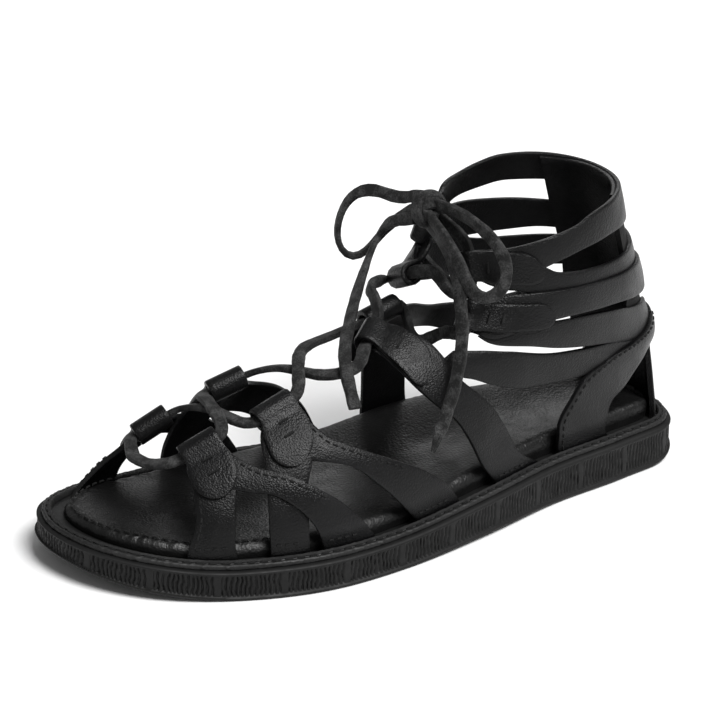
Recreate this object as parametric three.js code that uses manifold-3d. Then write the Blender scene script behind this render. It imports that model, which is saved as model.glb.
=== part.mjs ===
import * as THREE from 'three';
import { mergeVertices } from 'three/addons/utils/BufferGeometryUtils.js';
import Module from 'manifold-3d';

// A left lace-up sandal: toe towards -X, outer side towards -Y, standing on z = 0. Millimetres.
const wasm = await Module();
wasm.setup();

// Driving sizes.
const soleLength = 270;
const ballWidth = 100;
const forefootSole = 11.2;
const heelSole = 16.4;
const toeSpring = 8.8;
const waistLift = 1.2;
const heelRoll = 4.6;
const soleFlare = 1.8;
const ribDepth = 0.9;
const strapInset = 8;
const weltInset = 2.8;
const weltThickness = 1.7;
const footbedThickness = 5.4;
const heelCupDepth = 3.2;
const archRise = 5;
const instepHeight = 77;
const ankleHeight = 121;
const ankleWidth = 66;
const ankleShift = 9;
const wall = 2.2;
const layerStep = wall - 0.6;
const tunnelBore = 6.4;
const tunnelWall = 1.6;
const tunnelAhead = 0.55;
const laceWidth = 4.2;
const laceThickness = 2.2;
const clearance = 0.3;
const joinTolerance = 0.15;

// The sole seen from above: shares of soleLength from the toe, and of ballWidth to each side.
const outlineRows = [
  { along: 0.022, lateral: 0.077, medial: 0.316 },
  { along: 0.089, lateral: 0.281, medial: 0.435 },
  { along: 0.195, lateral: 0.426, medial: 0.49 },
  { along: 0.311, lateral: 0.5, medial: 0.5 },
  { along: 0.44, lateral: 0.483, medial: 0.456 },
  { along: 0.588, lateral: 0.405, medial: 0.432 },
  { along: 0.735, lateral: 0.29, medial: 0.446 },
  { along: 0.87, lateral: 0.226, medial: 0.424 },
  { along: 0.972, lateral: 0.145, medial: 0.272 },
];
const toeTipMedial = 0.139;
const heelTipMedial = 0.045;

// The sole seen from the side: shares of toeSpring, waistLift and heelRoll, and of the rise from forefoot to heel.
const soleRows = [
  { along: 0, spring: 1, waist: 0, roll: 0, rise: -0.72 },
  { along: 0.08, spring: 0.37, waist: 0, roll: 0, rise: -0.15 },
  { along: 0.2, spring: 0, waist: 0, roll: 0, rise: 0 },
  { along: 0.4, spring: 0, waist: 0, roll: 0, rise: 0.1 },
  { along: 0.6, spring: 0, waist: 1, roll: 0, rise: 0.5 },
  { along: 0.8, spring: 0, waist: 0, roll: 0, rise: 0.95 },
  { along: 0.93, spring: 0, waist: 0, roll: 0, rise: 1 },
  { along: 1, spring: 0, waist: 0, roll: 1, rise: 0.2 },
];

// The footbed's top: shares of footbedThickness, heelCupDepth at the rim, and archRise on the inner side.
const footbedRows = [
  { along: 0, thick: 0.7, rim: 0.2, arch: 0 },
  { along: 0.12, thick: 0.95, rim: 0.2, arch: 0 },
  { along: 0.3, thick: 1, rim: 0.15, arch: 0 },
  { along: 0.45, thick: 1.05, rim: 0.35, arch: 0.45 },
  { along: 0.58, thick: 1.15, rim: 0.7, arch: 1 },
  { along: 0.75, thick: 1.2, rim: 1, arch: 0.4 },
  { along: 1, thick: 1.2, rim: 1.1, arch: 0 },
];

// The foot that the straps are lasted on: its crown as shares of instepHeight.
const crownRows = [
  { along: 0, crown: 0.2 },
  { along: 0.0926, crown: 0.39 },
  { along: 0.185, crown: 0.62 },
  { along: 0.296, crown: 0.78 },
  { along: 0.5, crown: 1 },
  { along: 0.611, crown: 1.17 },
  { along: 0.722, crown: 1.3 },
  { along: 1, crown: 1.4 },
];

// The ankle: shares of ankleHeight up, of soleLength along, and of half of ankleWidth.
const ankleRows = [
  { up: 0.124, front: 0.074, rear: 0.97, half: 0.94 },
  { up: 0.413, front: 0.241, rear: 0.967, half: 1 },
  { up: 0.537, front: 0.381, rear: 0.948, half: 1 },
  { up: 0.636, front: 0.507, rear: 0.93, half: 0.985 },
  { up: 0.744, front: 0.574, rear: 0.911, half: 0.97 },
  { up: 0.95, front: 0.611, rear: 0.881, half: 0.91 },
  { up: 1.05, front: 0.622, rear: 0.868, half: 0.89 },
];
const heelBlendTop = 0.4;
const innerPinch = 19;

// Straps on the foot: both edges from the lace down to the sole. Arc 180 is the outer sole edge, 0 the inner one.
const outerStraps = [
  {
    layer: 0,
    rows: [
      { front: 0.17, frontArc: 116, back: 0.219, backArc: 114 },
      { front: 0.167, frontArc: 126, back: 0.224, backArc: 126 },
      { front: 0.163, frontArc: 139, back: 0.214, backArc: 141 },
      { front: 0.159, frontArc: 151, back: 0.206, backArc: 152 },
      { front: 0.145, frontArc: 169, back: 0.201, backArc: 170 },
      { front: 0.14, frontArc: 180, back: 0.205, backArc: 180 },
    ],
  },
  {
    layer: 1,
    rows: [
      { front: 0.206, frontArc: 140, back: 0.218, backArc: 120 },
      { front: 0.23, frontArc: 145, back: 0.243, backArc: 133 },
      { front: 0.256, frontArc: 149, back: 0.283, backArc: 143 },
      { front: 0.277, frontArc: 155, back: 0.312, backArc: 151 },
      { front: 0.294, frontArc: 161.5, back: 0.345, backArc: 160 },
      { front: 0.309, frontArc: 170, back: 0.378, backArc: 171 },
      { front: 0.32, frontArc: 180, back: 0.402, backArc: 180 },
    ],
  },
  {
    layer: 0,
    rows: [
      { front: 0.27, frontArc: 115, back: 0.325, backArc: 112 },
      { front: 0.26, frontArc: 125, back: 0.331, backArc: 124 },
      { front: 0.256, frontArc: 138, back: 0.318, backArc: 139 },
      { front: 0.249, frontArc: 150, back: 0.303, backArc: 151 },
      { front: 0.245, frontArc: 169, back: 0.297, backArc: 170 },
      { front: 0.245, frontArc: 180, back: 0.298, backArc: 180 },
    ],
  },
  {
    layer: 0.5,
    rows: [
      { front: 0.3, frontArc: 137, back: 0.327, backArc: 120 },
      { front: 0.325, frontArc: 141, back: 0.345, backArc: 132 },
      { front: 0.368, frontArc: 148, back: 0.386, backArc: 143 },
      { front: 0.402, frontArc: 158, back: 0.437, backArc: 153 },
      { front: 0.428, frontArc: 166, back: 0.485, backArc: 162 },
      { front: 0.45, frontArc: 173, back: 0.53, backArc: 173 },
      { front: 0.473, frontArc: 180, back: 0.55, backArc: 180 },
    ],
  },
];
const innerStraps = [
  {
    layer: 0,
    rows: [
      { front: 0.16, frontArc: 55, back: 0.206, backArc: 58 },
      { front: 0.143, frontArc: 44, back: 0.207, backArc: 43 },
      { front: 0.115, frontArc: 31, back: 0.178, backArc: 30 },
      { front: 0.092, frontArc: 16, back: 0.158, backArc: 15 },
      { front: 0.078, frontArc: 0, back: 0.15, backArc: 0 },
    ],
  },
  {
    layer: 1,
    rows: [
      { front: 0.183, frontArc: 36, back: 0.2, backArc: 50 },
      { front: 0.2, frontArc: 30, back: 0.222, backArc: 40 },
      { front: 0.232, frontArc: 24, back: 0.27, backArc: 30 },
      { front: 0.262, frontArc: 15, back: 0.315, backArc: 18 },
      { front: 0.283, frontArc: 0, back: 0.355, backArc: 0 },
    ],
  },
  {
    layer: 0,
    rows: [
      { front: 0.262, frontArc: 62, back: 0.312, backArc: 64 },
      { front: 0.25, frontArc: 46, back: 0.322, backArc: 47 },
      { front: 0.238, frontArc: 32, back: 0.3, backArc: 30 },
      { front: 0.228, frontArc: 14, back: 0.28, backArc: 12 },
      { front: 0.226, frontArc: 0, back: 0.28, backArc: 0 },
    ],
  },
  {
    layer: 0.5,
    rows: [
      { front: 0.288, frontArc: 34, back: 0.315, backArc: 54 },
      { front: 0.312, frontArc: 28, back: 0.352, backArc: 42 },
      { front: 0.352, frontArc: 22, back: 0.402, backArc: 31 },
      { front: 0.385, frontArc: 13, back: 0.446, backArc: 17 },
      { front: 0.405, frontArc: 0, back: 0.478, backArc: 0 },
    ],
  },
];
const instepStraps = [
  {
    layer: 0,
    rows: [
      { front: 0.456, frontArc: 101, back: 0.489, backArc: 91 },
      { front: 0.468, frontArc: 114, back: 0.527, backArc: 114 },
      { front: 0.49, frontArc: 130, back: 0.56, backArc: 138 },
      { front: 0.52, frontArc: 143, back: 0.59, backArc: 148 },
      { front: 0.545, frontArc: 151, back: 0.616, backArc: 156 },
      { front: 0.568, frontArc: 161, back: 0.64, backArc: 165 },
      { front: 0.59, frontArc: 171, back: 0.665, backArc: 173 },
      { front: 0.622, frontArc: 180, back: 0.715, backArc: 180 },
    ],
  },
  {
    layer: 0,
    rows: [
      { front: 0.495, frontArc: 62, back: 0.553, backArc: 58 },
      { front: 0.502, frontArc: 46, back: 0.585, backArc: 44 },
      { front: 0.53, frontArc: 28, back: 0.605, backArc: 22 },
      { front: 0.538, frontArc: 12, back: 0.612, backArc: 10 },
      { front: 0.54, frontArc: 0, back: 0.622, backArc: 0 },
    ],
  },
];

// Straps round the ankle: turn 0 is the front, 90 the inner side, 180 the back and 270 the outer side.
const ankleStraps = [
  {
    name: 'instep ring, outer',
    layer: 0,
    rows: [
      { lowTurn: 298, low: 0.525, highTurn: 300, high: 0.577 },
      { lowTurn: 290, low: 0.51, highTurn: 289, high: 0.571 },
      { lowTurn: 280, low: 0.488, highTurn: 276, high: 0.554 },
      { lowTurn: 259, low: 0.42, highTurn: 255, high: 0.512 },
      { lowTurn: 238, low: 0.4, highTurn: 234, high: 0.488 },
      { lowTurn: 214, low: 0.38, highTurn: 214, high: 0.45 },
      { lowTurn: 184, low: 0.36, highTurn: 184, high: 0.43 },
    ],
  },
  {
    name: 'instep ring, inner',
    layer: 0,
    rows: [
      { lowTurn: 66, low: 0.5, highTurn: 62, high: 0.575 },
      { lowTurn: 80, low: 0.485, highTurn: 78, high: 0.552 },
      { lowTurn: 96, low: 0.44, highTurn: 94, high: 0.51 },
      { lowTurn: 112, low: 0.39, highTurn: 110, high: 0.49 },
      { lowTurn: 133, low: 0.43, highTurn: 130, high: 0.52 },
      { lowTurn: 160, low: 0.44, highTurn: 160, high: 0.54 },
    ],
  },
  {
    name: 'lower middle ring, outer',
    layer: 0,
    rows: [
      { lowTurn: 298, low: 0.61, highTurn: 301, high: 0.66 },
      { lowTurn: 286, low: 0.582, highTurn: 290, high: 0.66 },
      { lowTurn: 270, low: 0.56, highTurn: 274, high: 0.63 },
      { lowTurn: 256, low: 0.53, highTurn: 251, high: 0.62 },
      { lowTurn: 237, low: 0.496, highTurn: 233, high: 0.6 },
      { lowTurn: 214, low: 0.446, highTurn: 216, high: 0.57 },
      { lowTurn: 190, low: 0.42, highTurn: 190, high: 0.54 },
    ],
  },
  {
    name: 'upper middle ring, outer',
    layer: 1,
    rows: [
      { lowTurn: 303, low: 0.622, highTurn: 312, high: 0.695 },
      { lowTurn: 290, low: 0.6, highTurn: 299, high: 0.728 },
      { lowTurn: 278, low: 0.635, highTurn: 276, high: 0.733 },
      { lowTurn: 259, low: 0.642, highTurn: 259, high: 0.735 },
      { lowTurn: 240, low: 0.635, highTurn: 234, high: 0.727 },
      { lowTurn: 205, low: 0.605, highTurn: 205, high: 0.715 },
      { lowTurn: 180, low: 0.6, highTurn: 180, high: 0.705 },
    ],
  },
  {
    name: 'lower top ring, outer',
    layer: 0,
    rows: [
      { lowTurn: 318, low: 0.765, highTurn: 322, high: 0.81 },
      { lowTurn: 287, low: 0.72, highTurn: 290, high: 0.81 },
      { lowTurn: 276, low: 0.7, highTurn: 277, high: 0.785 },
      { lowTurn: 252, low: 0.69, highTurn: 252, high: 0.777 },
      { lowTurn: 226, low: 0.69, highTurn: 226, high: 0.777 },
      { lowTurn: 200, low: 0.7, highTurn: 200, high: 0.79 },
      { lowTurn: 180, low: 0.71, highTurn: 180, high: 0.8 },
    ],
  },
  {
    name: 'upper top ring, outer',
    layer: 0,
    rows: [
      { lowTurn: 320, low: 0.762, highTurn: 328, high: 0.852 },
      { lowTurn: 300, low: 0.738, highTurn: 309, high: 0.868 },
      { lowTurn: 288, low: 0.8, highTurn: 291, high: 0.893 },
      { lowTurn: 274, low: 0.832, highTurn: 270, high: 0.925 },
      { lowTurn: 258, low: 0.855, highTurn: 257, high: 0.953 },
      { lowTurn: 236, low: 0.868, highTurn: 234, high: 0.975 },
      { lowTurn: 205, low: 0.87, highTurn: 205, high: 0.985 },
      { lowTurn: 180, low: 0.88, highTurn: 180, high: 0.99 },
    ],
  },
  {
    name: 'upper top ring, inner',
    layer: 0,
    rows: [
      { lowTurn: 35, low: 0.79, highTurn: 33, high: 0.89 },
      { lowTurn: 46, low: 0.84, highTurn: 44, high: 0.955 },
      { lowTurn: 64, low: 0.882, highTurn: 65, high: 0.967 },
      { lowTurn: 86, low: 0.897, highTurn: 83, high: 0.983 },
      { lowTurn: 105, low: 0.909, highTurn: 100, high: 1 },
      { lowTurn: 130, low: 0.909, highTurn: 130, high: 1.004 },
      { lowTurn: 180, low: 0.88, highTurn: 180, high: 0.99 },
    ],
  },
  {
    name: 'lower top ring, inner',
    layer: 0,
    rows: [
      { lowTurn: 36, low: 0.795, highTurn: 35, high: 0.86 },
      { lowTurn: 60, low: 0.74, highTurn: 60, high: 0.86 },
      { lowTurn: 97, low: 0.728, highTurn: 95, high: 0.846 },
      { lowTurn: 124, low: 0.735, highTurn: 118, high: 0.836 },
      { lowTurn: 152, low: 0.725, highTurn: 152, high: 0.825 },
      { lowTurn: 180, low: 0.71, highTurn: 180, high: 0.8 },
    ],
  },
  {
    name: 'middle ring, inner',
    layer: 1,
    rows: [
      { lowTurn: 30, low: 0.695, highTurn: 6, high: 0.744 },
      { lowTurn: 46, low: 0.66, highTurn: 32, high: 0.8 },
      { lowTurn: 66, low: 0.625, highTurn: 62, high: 0.765 },
      { lowTurn: 100, low: 0.595, highTurn: 100, high: 0.7 },
      { lowTurn: 130, low: 0.595, highTurn: 130, high: 0.7 },
      { lowTurn: 180, low: 0.6, highTurn: 180, high: 0.705 },
    ],
  },
  {
    name: 'back panel',
    layer: -1,
    rows: [
      { lowTurn: 142, low: 0.39, highTurn: 126, high: 0.997 },
      { lowTurn: 160, low: 0.37, highTurn: 152, high: 0.997 },
      { lowTurn: 180, low: 0.36, highTurn: 180, high: 0.992 },
      { lowTurn: 202, low: 0.37, highTurn: 210, high: 0.985 },
      { lowTurn: 222, low: 0.39, highTurn: 226, high: 0.975 },
    ],
  },
  {
    name: 'heel strap, outer',
    layer: 1,
    rows: [
      { lowTurn: 221, low: 0.124, highTurn: 239, high: 0.124 },
      { lowTurn: 225, low: 0.17, highTurn: 241, high: 0.182 },
      { lowTurn: 226, low: 0.232, highTurn: 243, high: 0.256 },
      { lowTurn: 225, low: 0.273, highTurn: 242, high: 0.322 },
      { lowTurn: 220, low: 0.306, highTurn: 240, high: 0.388 },
      { lowTurn: 211, low: 0.37, highTurn: 230, high: 0.438 },
      { lowTurn: 200, low: 0.41, highTurn: 209, high: 0.463 },
      { lowTurn: 180, low: 0.42, highTurn: 184, high: 0.5 },
      { lowTurn: 158, low: 0.42, highTurn: 160, high: 0.5 },
    ],
  },
  {
    name: 'heel counter',
    layer: 0,
    rows: [
      { lowTurn: 146, low: 0.124, highTurn: 150, high: 0.34 },
      { lowTurn: 158, low: 0.124, highTurn: 158, high: 0.46 },
      { lowTurn: 172, low: 0.124, highTurn: 172, high: 0.46 },
      { lowTurn: 186, low: 0.124, highTurn: 186, high: 0.45 },
      { lowTurn: 198, low: 0.124, highTurn: 196, high: 0.4 },
    ],
  },
];

// Lace tunnels: the strap's end that is folded outwards, and the length of the flap with its round end.
const footTabs = [
  { name: 'outer1', piece: 'outer', front: 0.17, frontArc: 116, back: 0.219, backArc: 114, reach: 28, lift: 2 },
  { name: 'outer2', piece: 'outer', front: 0.27, frontArc: 115, back: 0.325, backArc: 112, reach: 26, lift: 2 },
  { name: 'inner1', piece: 'inner', front: 0.16, frontArc: 55, back: 0.206, backArc: 58, reach: -34, lift: 2 },
  { name: 'inner2', piece: 'inner', front: 0.262, frontArc: 62, back: 0.312, backArc: 64, reach: -34, lift: 2 },
  {
    name: 'outer3',
    piece: 'ankle',
    front: 0.456,
    frontArc: 101,
    back: 0.489,
    backArc: 91,
    reach: 34,
    drift: 0.04,
    lift: 2,
  },
  { name: 'inner3', piece: 'ankle', front: 0.495, frontArc: 62, back: 0.553, backArc: 58, reach: -30, lift: 2 },
];
const ankleTabs = [
  { name: 'outer4', low: 0.622, lowTurn: 303, high: 0.695, highTurn: 312, reach: -33, lift: 3 },
  { name: 'outer5', low: 0.762, lowTurn: 320, high: 0.852, highTurn: 328, reach: -36, lift: 2 },
  { name: 'inner4', low: 0.695, lowTurn: 30, high: 0.744, highTurn: 6, reach: 27, climb: 0.08, lift: 3 },
  { name: 'inner5', low: 0.79, lowTurn: 35, high: 0.89, highTurn: 33, reach: 32, lift: 2 },
];

// The two halves of the lace from its middle at the toe: the tunnels that each runs through, and the places
// between them. Along and arc are on the foot, turn and up on the ankle, out is in laceThickness.
const laceHalves = [
  [
    { along: 0.131, arc: 84, out: 0.4 },
    { along: 0.138, arc: 103, out: 0.8 },
    { through: 'outer1' },
    { along: 0.236, arc: 86, out: 1.3 },
    { through: 'inner2' },
    { along: 0.345, arc: 82, out: 0.2 },
    { along: 0.38, arc: 104, out: 0.2 },
    { along: 0.425, arc: 109, out: 0.8 },
    { through: 'outer3' },
    { across: -2, above: -7.5, front: 5.6 },
    { across: 2, above: -7.6, front: 4.5 },
    { through: 'inner4' },
    { turn: 350, up: 0.765, out: 1 },
    { turn: 329, up: 0.712, out: 0 },
    { through: 'outer5' },
    { turn: 345, up: 0.895, out: 0.6 },
    { across: -0.6, above: -0.4, front: -0.5 },
  ],
  [
    { along: 0.131, arc: 84, out: 0.4 },
    { along: 0.146, arc: 64, out: 0.8 },
    { through: 'inner1' },
    { along: 0.232, arc: 84, out: 0.1 },
    { through: 'outer2' },
    { along: 0.352, arc: 95, out: 1.3 },
    { along: 0.385, arc: 77, out: 1.2 },
    { along: 0.44, arc: 66, out: 0.8 },
    { through: 'inner3' },
    { turn: 350, up: 0.655, out: -8 },
    { turn: 316, up: 0.635, out: -2 },
    { through: 'outer4' },
    { turn: 350, up: 0.75, out: -4 },
    { through: 'inner5' },
    { across: 0.4, above: -0.4, front: -0.5 },
  ],
];

// The bow: the knot, its loops and its ends, which hang in front of the ankle and over the instep. Across, above and
// front are from the knot's middle, in laceWidth.
const knotPlace = { turn: 6, up: 0.93, out: 3 };
const knotRadii = { across: 1.7, above: 1.35, front: 1 };
const laceCords = [
  {
    name: 'lace_loop_left',
    by: [
      { across: 0.9, above: 0.8, front: 0.2 },
      { across: 2.2, above: 0.5, front: 0.4 },
      { across: 3.8, above: -0.4, front: 1.1 },
      { across: 5.4, above: -0.1, front: 2.1 },
      { across: 6.7, above: -0.1, front: 3.1 },
      { across: 7.5, above: -0.7, front: 4 },
      { across: 8, above: -1.8, front: 4.7 },
      { across: 8.1, above: -3.3, front: 5.2 },
      { across: 8, above: -4.7, front: 5.5 },
      { across: 7.6, above: -5.8, front: 5.4 },
      { across: 7, above: -6.8, front: 4.9 },
      { across: 6.6, above: -7, front: 4 },
      { across: 6.4, above: -6.2, front: 3 },
      { across: 6.2, above: -4.7, front: 1.9 },
      { across: 5.2, above: -3, front: 0.9 },
      { across: 2.9, above: -1, front: -0.1 },
      { across: 1, above: -0.4, front: 0 },
    ],
  },
  {
    name: 'lace_loop_right',
    by: [
      { across: -0.9, above: 0.6, front: -0.2 },
      { across: -3.3, above: 0.7, front: -1.3 },
      { across: -5, above: 0.3, front: -2 },
      { across: -6.7, above: -0.4, front: -2.8 },
      { across: -8, above: -1.5, front: -3.5 },
      { across: -8.8, above: -3, front: -3.9 },
      { across: -9.2, above: -4.4, front: -3.6 },
      { across: -9.2, above: -5.4, front: -2.6 },
      { across: -8.9, above: -5.8, front: -1.4 },
      { across: -8.3, above: -5.3, front: -0.8 },
      { across: -7.5, above: -4.3, front: -0.6 },
      { across: -6.5, above: -3.2, front: -0.4 },
      { across: -5, above: -2, front: -0.1 },
      { across: -3.2, above: -1, front: 0.2 },
      { across: -0.9, above: -0.2, front: 0.4 },
    ],
  },
  {
    name: 'lace_end_left',
    by: [
      { across: 0.4, above: -1, front: 1.1 },
      { across: 2.1, above: -1.7, front: 1.9 },
      { across: 3.4, above: -2.3, front: 2.3 },
      { across: 4.4, above: -3, front: 2.2 },
      { across: 4, above: -4.4, front: 3.3 },
      { across: 2.5, above: -5.7, front: 4.7 },
      { across: 0.7, above: -6.9, front: 6.1 },
      { across: -1.3, above: -8.1, front: 7.5 },
      { across: -3.7, above: -9, front: 8.9 },
      { across: -6.3, above: -9.7, front: 10.3 },
      { across: -8.5, above: -10.6, front: 11.1 },
      { across: -10.2, above: -11.9, front: 11.3 },
      { across: -11.4, above: -13.1, front: 11.3 },
    ],
  },
  {
    name: 'lace_end_right',
    by: [
      { across: 0.1, above: -0.9, front: 0.4 },
      { across: -1.5, above: -1.5, front: 0.1 },
      { across: -3.3, above: -2.2, front: -0.1 },
      { across: -5, above: -3.2, front: -0.2 },
      { across: -6.4, above: -4.5, front: -0.2 },
      { across: -7.6, above: -5.9, front: -0 },
      { across: -8.7, above: -7.5, front: 0.2 },
      { across: -9.5, above: -9, front: 0.5 },
      { across: -10.1, above: -10.5, front: 0.9 },
      { across: -10.6, above: -12.1, front: 1.4 },
      { across: -11.2, above: -13.5, front: 2 },
      { across: -11.7, above: -14.9, front: 2.8 },
      { across: -12.3, above: -16.3, front: 3.6 },
      { across: -12.9, above: -17.7, front: 4.4 },
    ],
  },
];

// Reads a column of a table at a place between its rows, by a monotone cubic.
function read(rows, key, at, column) {
  const last = rows.length - 1;
  const x = THREE.MathUtils.clamp(at, rows[0][key], rows[last][key]);
  let i = 0;
  while (i < last - 1 && x > rows[i + 1][key]) {
    i += 1;
  }
  const slope = (k) => (rows[k + 1][column] - rows[k][column]) / (rows[k + 1][key] - rows[k][key]);
  const tangent = (k) => {
    if (k === 0 || k === last) {
      return k === 0 ? slope(0) : slope(last - 1);
    }
    const before = slope(k - 1);
    const after = slope(k);
    return before * after <= 0 ? 0 : (2 * before * after) / (before + after);
  };
  const span = rows[i + 1][key] - rows[i][key];
  const t = (x - rows[i][key]) / span;
  const t2 = t * t;
  const t3 = t2 * t;
  return (
    (2 * t3 - 3 * t2 + 1) * rows[i][column] +
    (t3 - 2 * t2 + t) * span * tangent(i) +
    (3 * t2 - 2 * t3) * rows[i + 1][column] +
    (t3 - t2) * span * tangent(i + 1)
  );
}

const smooth = (t) => {
  const c = THREE.MathUtils.clamp(t, 0, 1);
  return c * c * (3 - 2 * c);
};
const toX = (along) => (along - 0.5) * soleLength;
const toAlong = (x) => x / soleLength + 0.5;

// The outline as a closed curve, toe tip first, then the outer side, the heel tip and the inner side.
const outlinePoints = [
  new THREE.Vector3(toX(0), toeTipMedial * ballWidth, 0),
  ...outlineRows.map((row) => new THREE.Vector3(toX(row.along), -row.lateral * ballWidth, 0)),
  new THREE.Vector3(toX(1), heelTipMedial * ballWidth, 0),
  ...[...outlineRows].reverse().map((row) => new THREE.Vector3(toX(row.along), row.medial * ballWidth, 0)),
];
const outline = new THREE.CatmullRomCurve3(outlinePoints, true, 'centripetal');
const outlineFine = 480;
const fineOutline = outline.getPoints(outlineFine);
const toeIndex = fineOutline.reduce((best, p, i) => (p.x < fineOutline[best].x ? i : best), 0);
const heelIndex = fineOutline.reduce((best, p, i) => (p.x > fineOutline[best].x ? i : best), 0);

// A sole edge moved in by an inset, as points from toe to heel on one side.
function edgeLine(side, inset) {
  const ring = fineOutline.slice(0, outlineFine);
  const wrap = (i) => (i + outlineFine) % outlineFine;
  const line = [];
  const first = side < 0 ? toeIndex : heelIndex;
  const count = wrap((side < 0 ? heelIndex : toeIndex) - first);
  for (let k = 0; k <= count; k += 1) {
    const here = ring[wrap(first + k)];
    const ahead = ring[wrap(first + k + 2)];
    const behind = ring[wrap(first + k - 2)];
    const inward = new THREE.Vector3(behind.y - ahead.y, ahead.x - behind.x, 0).normalize();
    line.push(here.clone().addScaledVector(inward, inset));
  }
  return side < 0 ? line : line.reverse();
}

// The same number of points on both sides, evenly spaced from toe tip to heel tip.
function pairedEdges(inset, count) {
  const even = (side) => {
    const path = new THREE.CurvePath();
    const line = edgeLine(side, inset);
    for (let i = 0; i < line.length - 1; i += 1) {
      path.add(new THREE.LineCurve3(line[i], line[i + 1]));
    }
    return Array.from({ length: count + 1 }, (_, i) => path.getPointAt(i / count));
  };
  return { outer: even(-1), inner: even(1) };
}

const strapEdges = { outer: edgeLine(-1, strapInset), inner: edgeLine(1, strapInset) };

function edgeAt(line, x) {
  if (x <= line[0].x) {
    return line[0].y;
  }
  for (let i = 1; i < line.length; i += 1) {
    if (line[i].x >= x) {
      const share = (x - line[i - 1].x) / Math.max(line[i].x - line[i - 1].x, 1e-6);
      return THREE.MathUtils.lerp(line[i - 1].y, line[i].y, share);
    }
  }
  return line[line.length - 1].y;
}

const soleBottom = (x) => {
  const along = toAlong(x);
  return (
    toeSpring * read(soleRows, 'along', along, 'spring') +
    waistLift * read(soleRows, 'along', along, 'waist') +
    heelRoll * read(soleRows, 'along', along, 'roll')
  );
};
const soleTop = (x) => {
  const along = toAlong(x);
  const thickness = forefootSole + (heelSole - forefootSole) * read(soleRows, 'along', along, 'rise');
  return soleBottom(x) + thickness;
};

// A closed solid from rings of points that all have the same count.
function loft(rings, closed = false) {
  const count = rings[0].length;
  const positions = rings.flat().flatMap((p) => [p.x, p.y, p.z]);
  const index = [];
  const last = closed ? rings.length : rings.length - 1;
  for (let i = 0; i < last; i += 1) {
    const next = (i + 1) % rings.length;
    for (let j = 0; j < count; j += 1) {
      const k = (j + 1) % count;
      const a = i * count + j;
      const b = i * count + k;
      const c = next * count + k;
      const d = next * count + j;
      index.push(a, b, c, a, c, d);
    }
  }
  if (!closed) {
    const half = count / 2;
    const cap = (base, flip) => {
      for (let j = 0; j < half - 1; j += 1) {
        const quad = [base + j, base + j + 1, base + count - 2 - j, base + count - 1 - j];
        const order = flip ? [0, 2, 1, 0, 3, 2] : [0, 1, 2, 0, 2, 3];
        index.push(...order.map((k) => quad[k]));
      }
    };
    cap(0, true);
    cap((rings.length - 1) * count, false);
  }
  return solidFrom(positions, index);
}

function solidFrom(positions, index) {
  const geometry = new THREE.BufferGeometry();
  geometry.setAttribute('position', new THREE.Float32BufferAttribute(positions, 3));
  geometry.setIndex(index);
  return toManifold(geometry);
}

function toManifold(source) {
  const bare = source.clone();
  bare.deleteAttribute('normal');
  bare.deleteAttribute('uv');
  const merged = mergeVertices(bare, 1e-4);
  const kept = [];
  const corners = merged.index.array;
  for (let i = 0; i < corners.length; i += 3) {
    const [a, b, c] = [corners[i], corners[i + 1], corners[i + 2]];
    if (a !== b && b !== c && c !== a) {
      kept.push(a, b, c);
    }
  }
  const build = (triangles) =>
    new wasm.Manifold(
      new wasm.Mesh({
        numProp: 3,
        vertProperties: new Float32Array(merged.attributes.position.array),
        triVerts: new Uint32Array(triangles),
      }),
    );
  const solid = build(kept);
  if (solid.volume() > 0) {
    return solid;
  }
  const turned = [];
  for (let i = 0; i < kept.length; i += 3) {
    turned.push(kept[i], kept[i + 2], kept[i + 1]);
  }
  return build(turned);
}

function toGeometry(solid) {
  const mesh = solid.getMesh();
  const geometry = new THREE.BufferGeometry();
  geometry.setAttribute('position', new THREE.Float32BufferAttribute(mesh.vertProperties, 3));
  geometry.setIndex(Array.from(mesh.triVerts));
  geometry.computeVertexNormals();
  return geometry;
}

// Joins solids and fills the closed pockets that layered straps leave between them.
function joined(solids) {
  const whole = solids.reduce((all, one) => all.add(one)).simplify(joinTolerance);
  const shells = whole.decompose().filter((shell) => shell.volume() > 1);
  return shells.reduce((all, one) => all.add(one));
}

// The outsole: rings across it, with its side stepped into a lip, a ribbed band and a top band.
const sideRows = [
  { up: 0, inset: 0.7, ribbed: 0 },
  { up: 0.11, inset: 0, ribbed: 0 },
  { up: 0.22, inset: 0, ribbed: 1 },
  { up: 0.76, inset: 0, ribbed: 1 },
  { up: 0.85, inset: 0, ribbed: 0 },
  { up: 1, inset: soleFlare, ribbed: 0 },
];
const ribStations = 90;
const ribPeriod = 3;
const ribsInGroup = 8;

function makeOutsole() {
  const shape = sideRows.map(({ up, inset }) => ({
    up,
    plain: pairedEdges(inset, ribStations),
    cut: pairedEdges(inset + ribDepth, ribStations),
  }));
  const rings = [];
  for (let i = 0; i <= ribStations; i += 1) {
    const inGroup = Math.floor(i / ribPeriod) % (ribsInGroup + 1) < ribsInGroup;
    const groove = inGroup && i % ribPeriod === 1;
    const column = (side) =>
      shape.map((level, k) => {
        const from = groove && sideRows[k].ribbed ? level.cut : level.plain;
        const p = from[side][i];
        const low = soleBottom(p.x);
        return new THREE.Vector3(p.x, p.y, THREE.MathUtils.lerp(low, soleTop(p.x), level.up));
      });
    rings.push([...column('outer'), ...column('inner').reverse()]);
  }
  return trimEnds(rings);
}

// Lofts rings whose first and last ones shrink to the toe and heel tips.
function trimEnds(rings) {
  return loft(rings.slice(1, -1));
}

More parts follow.
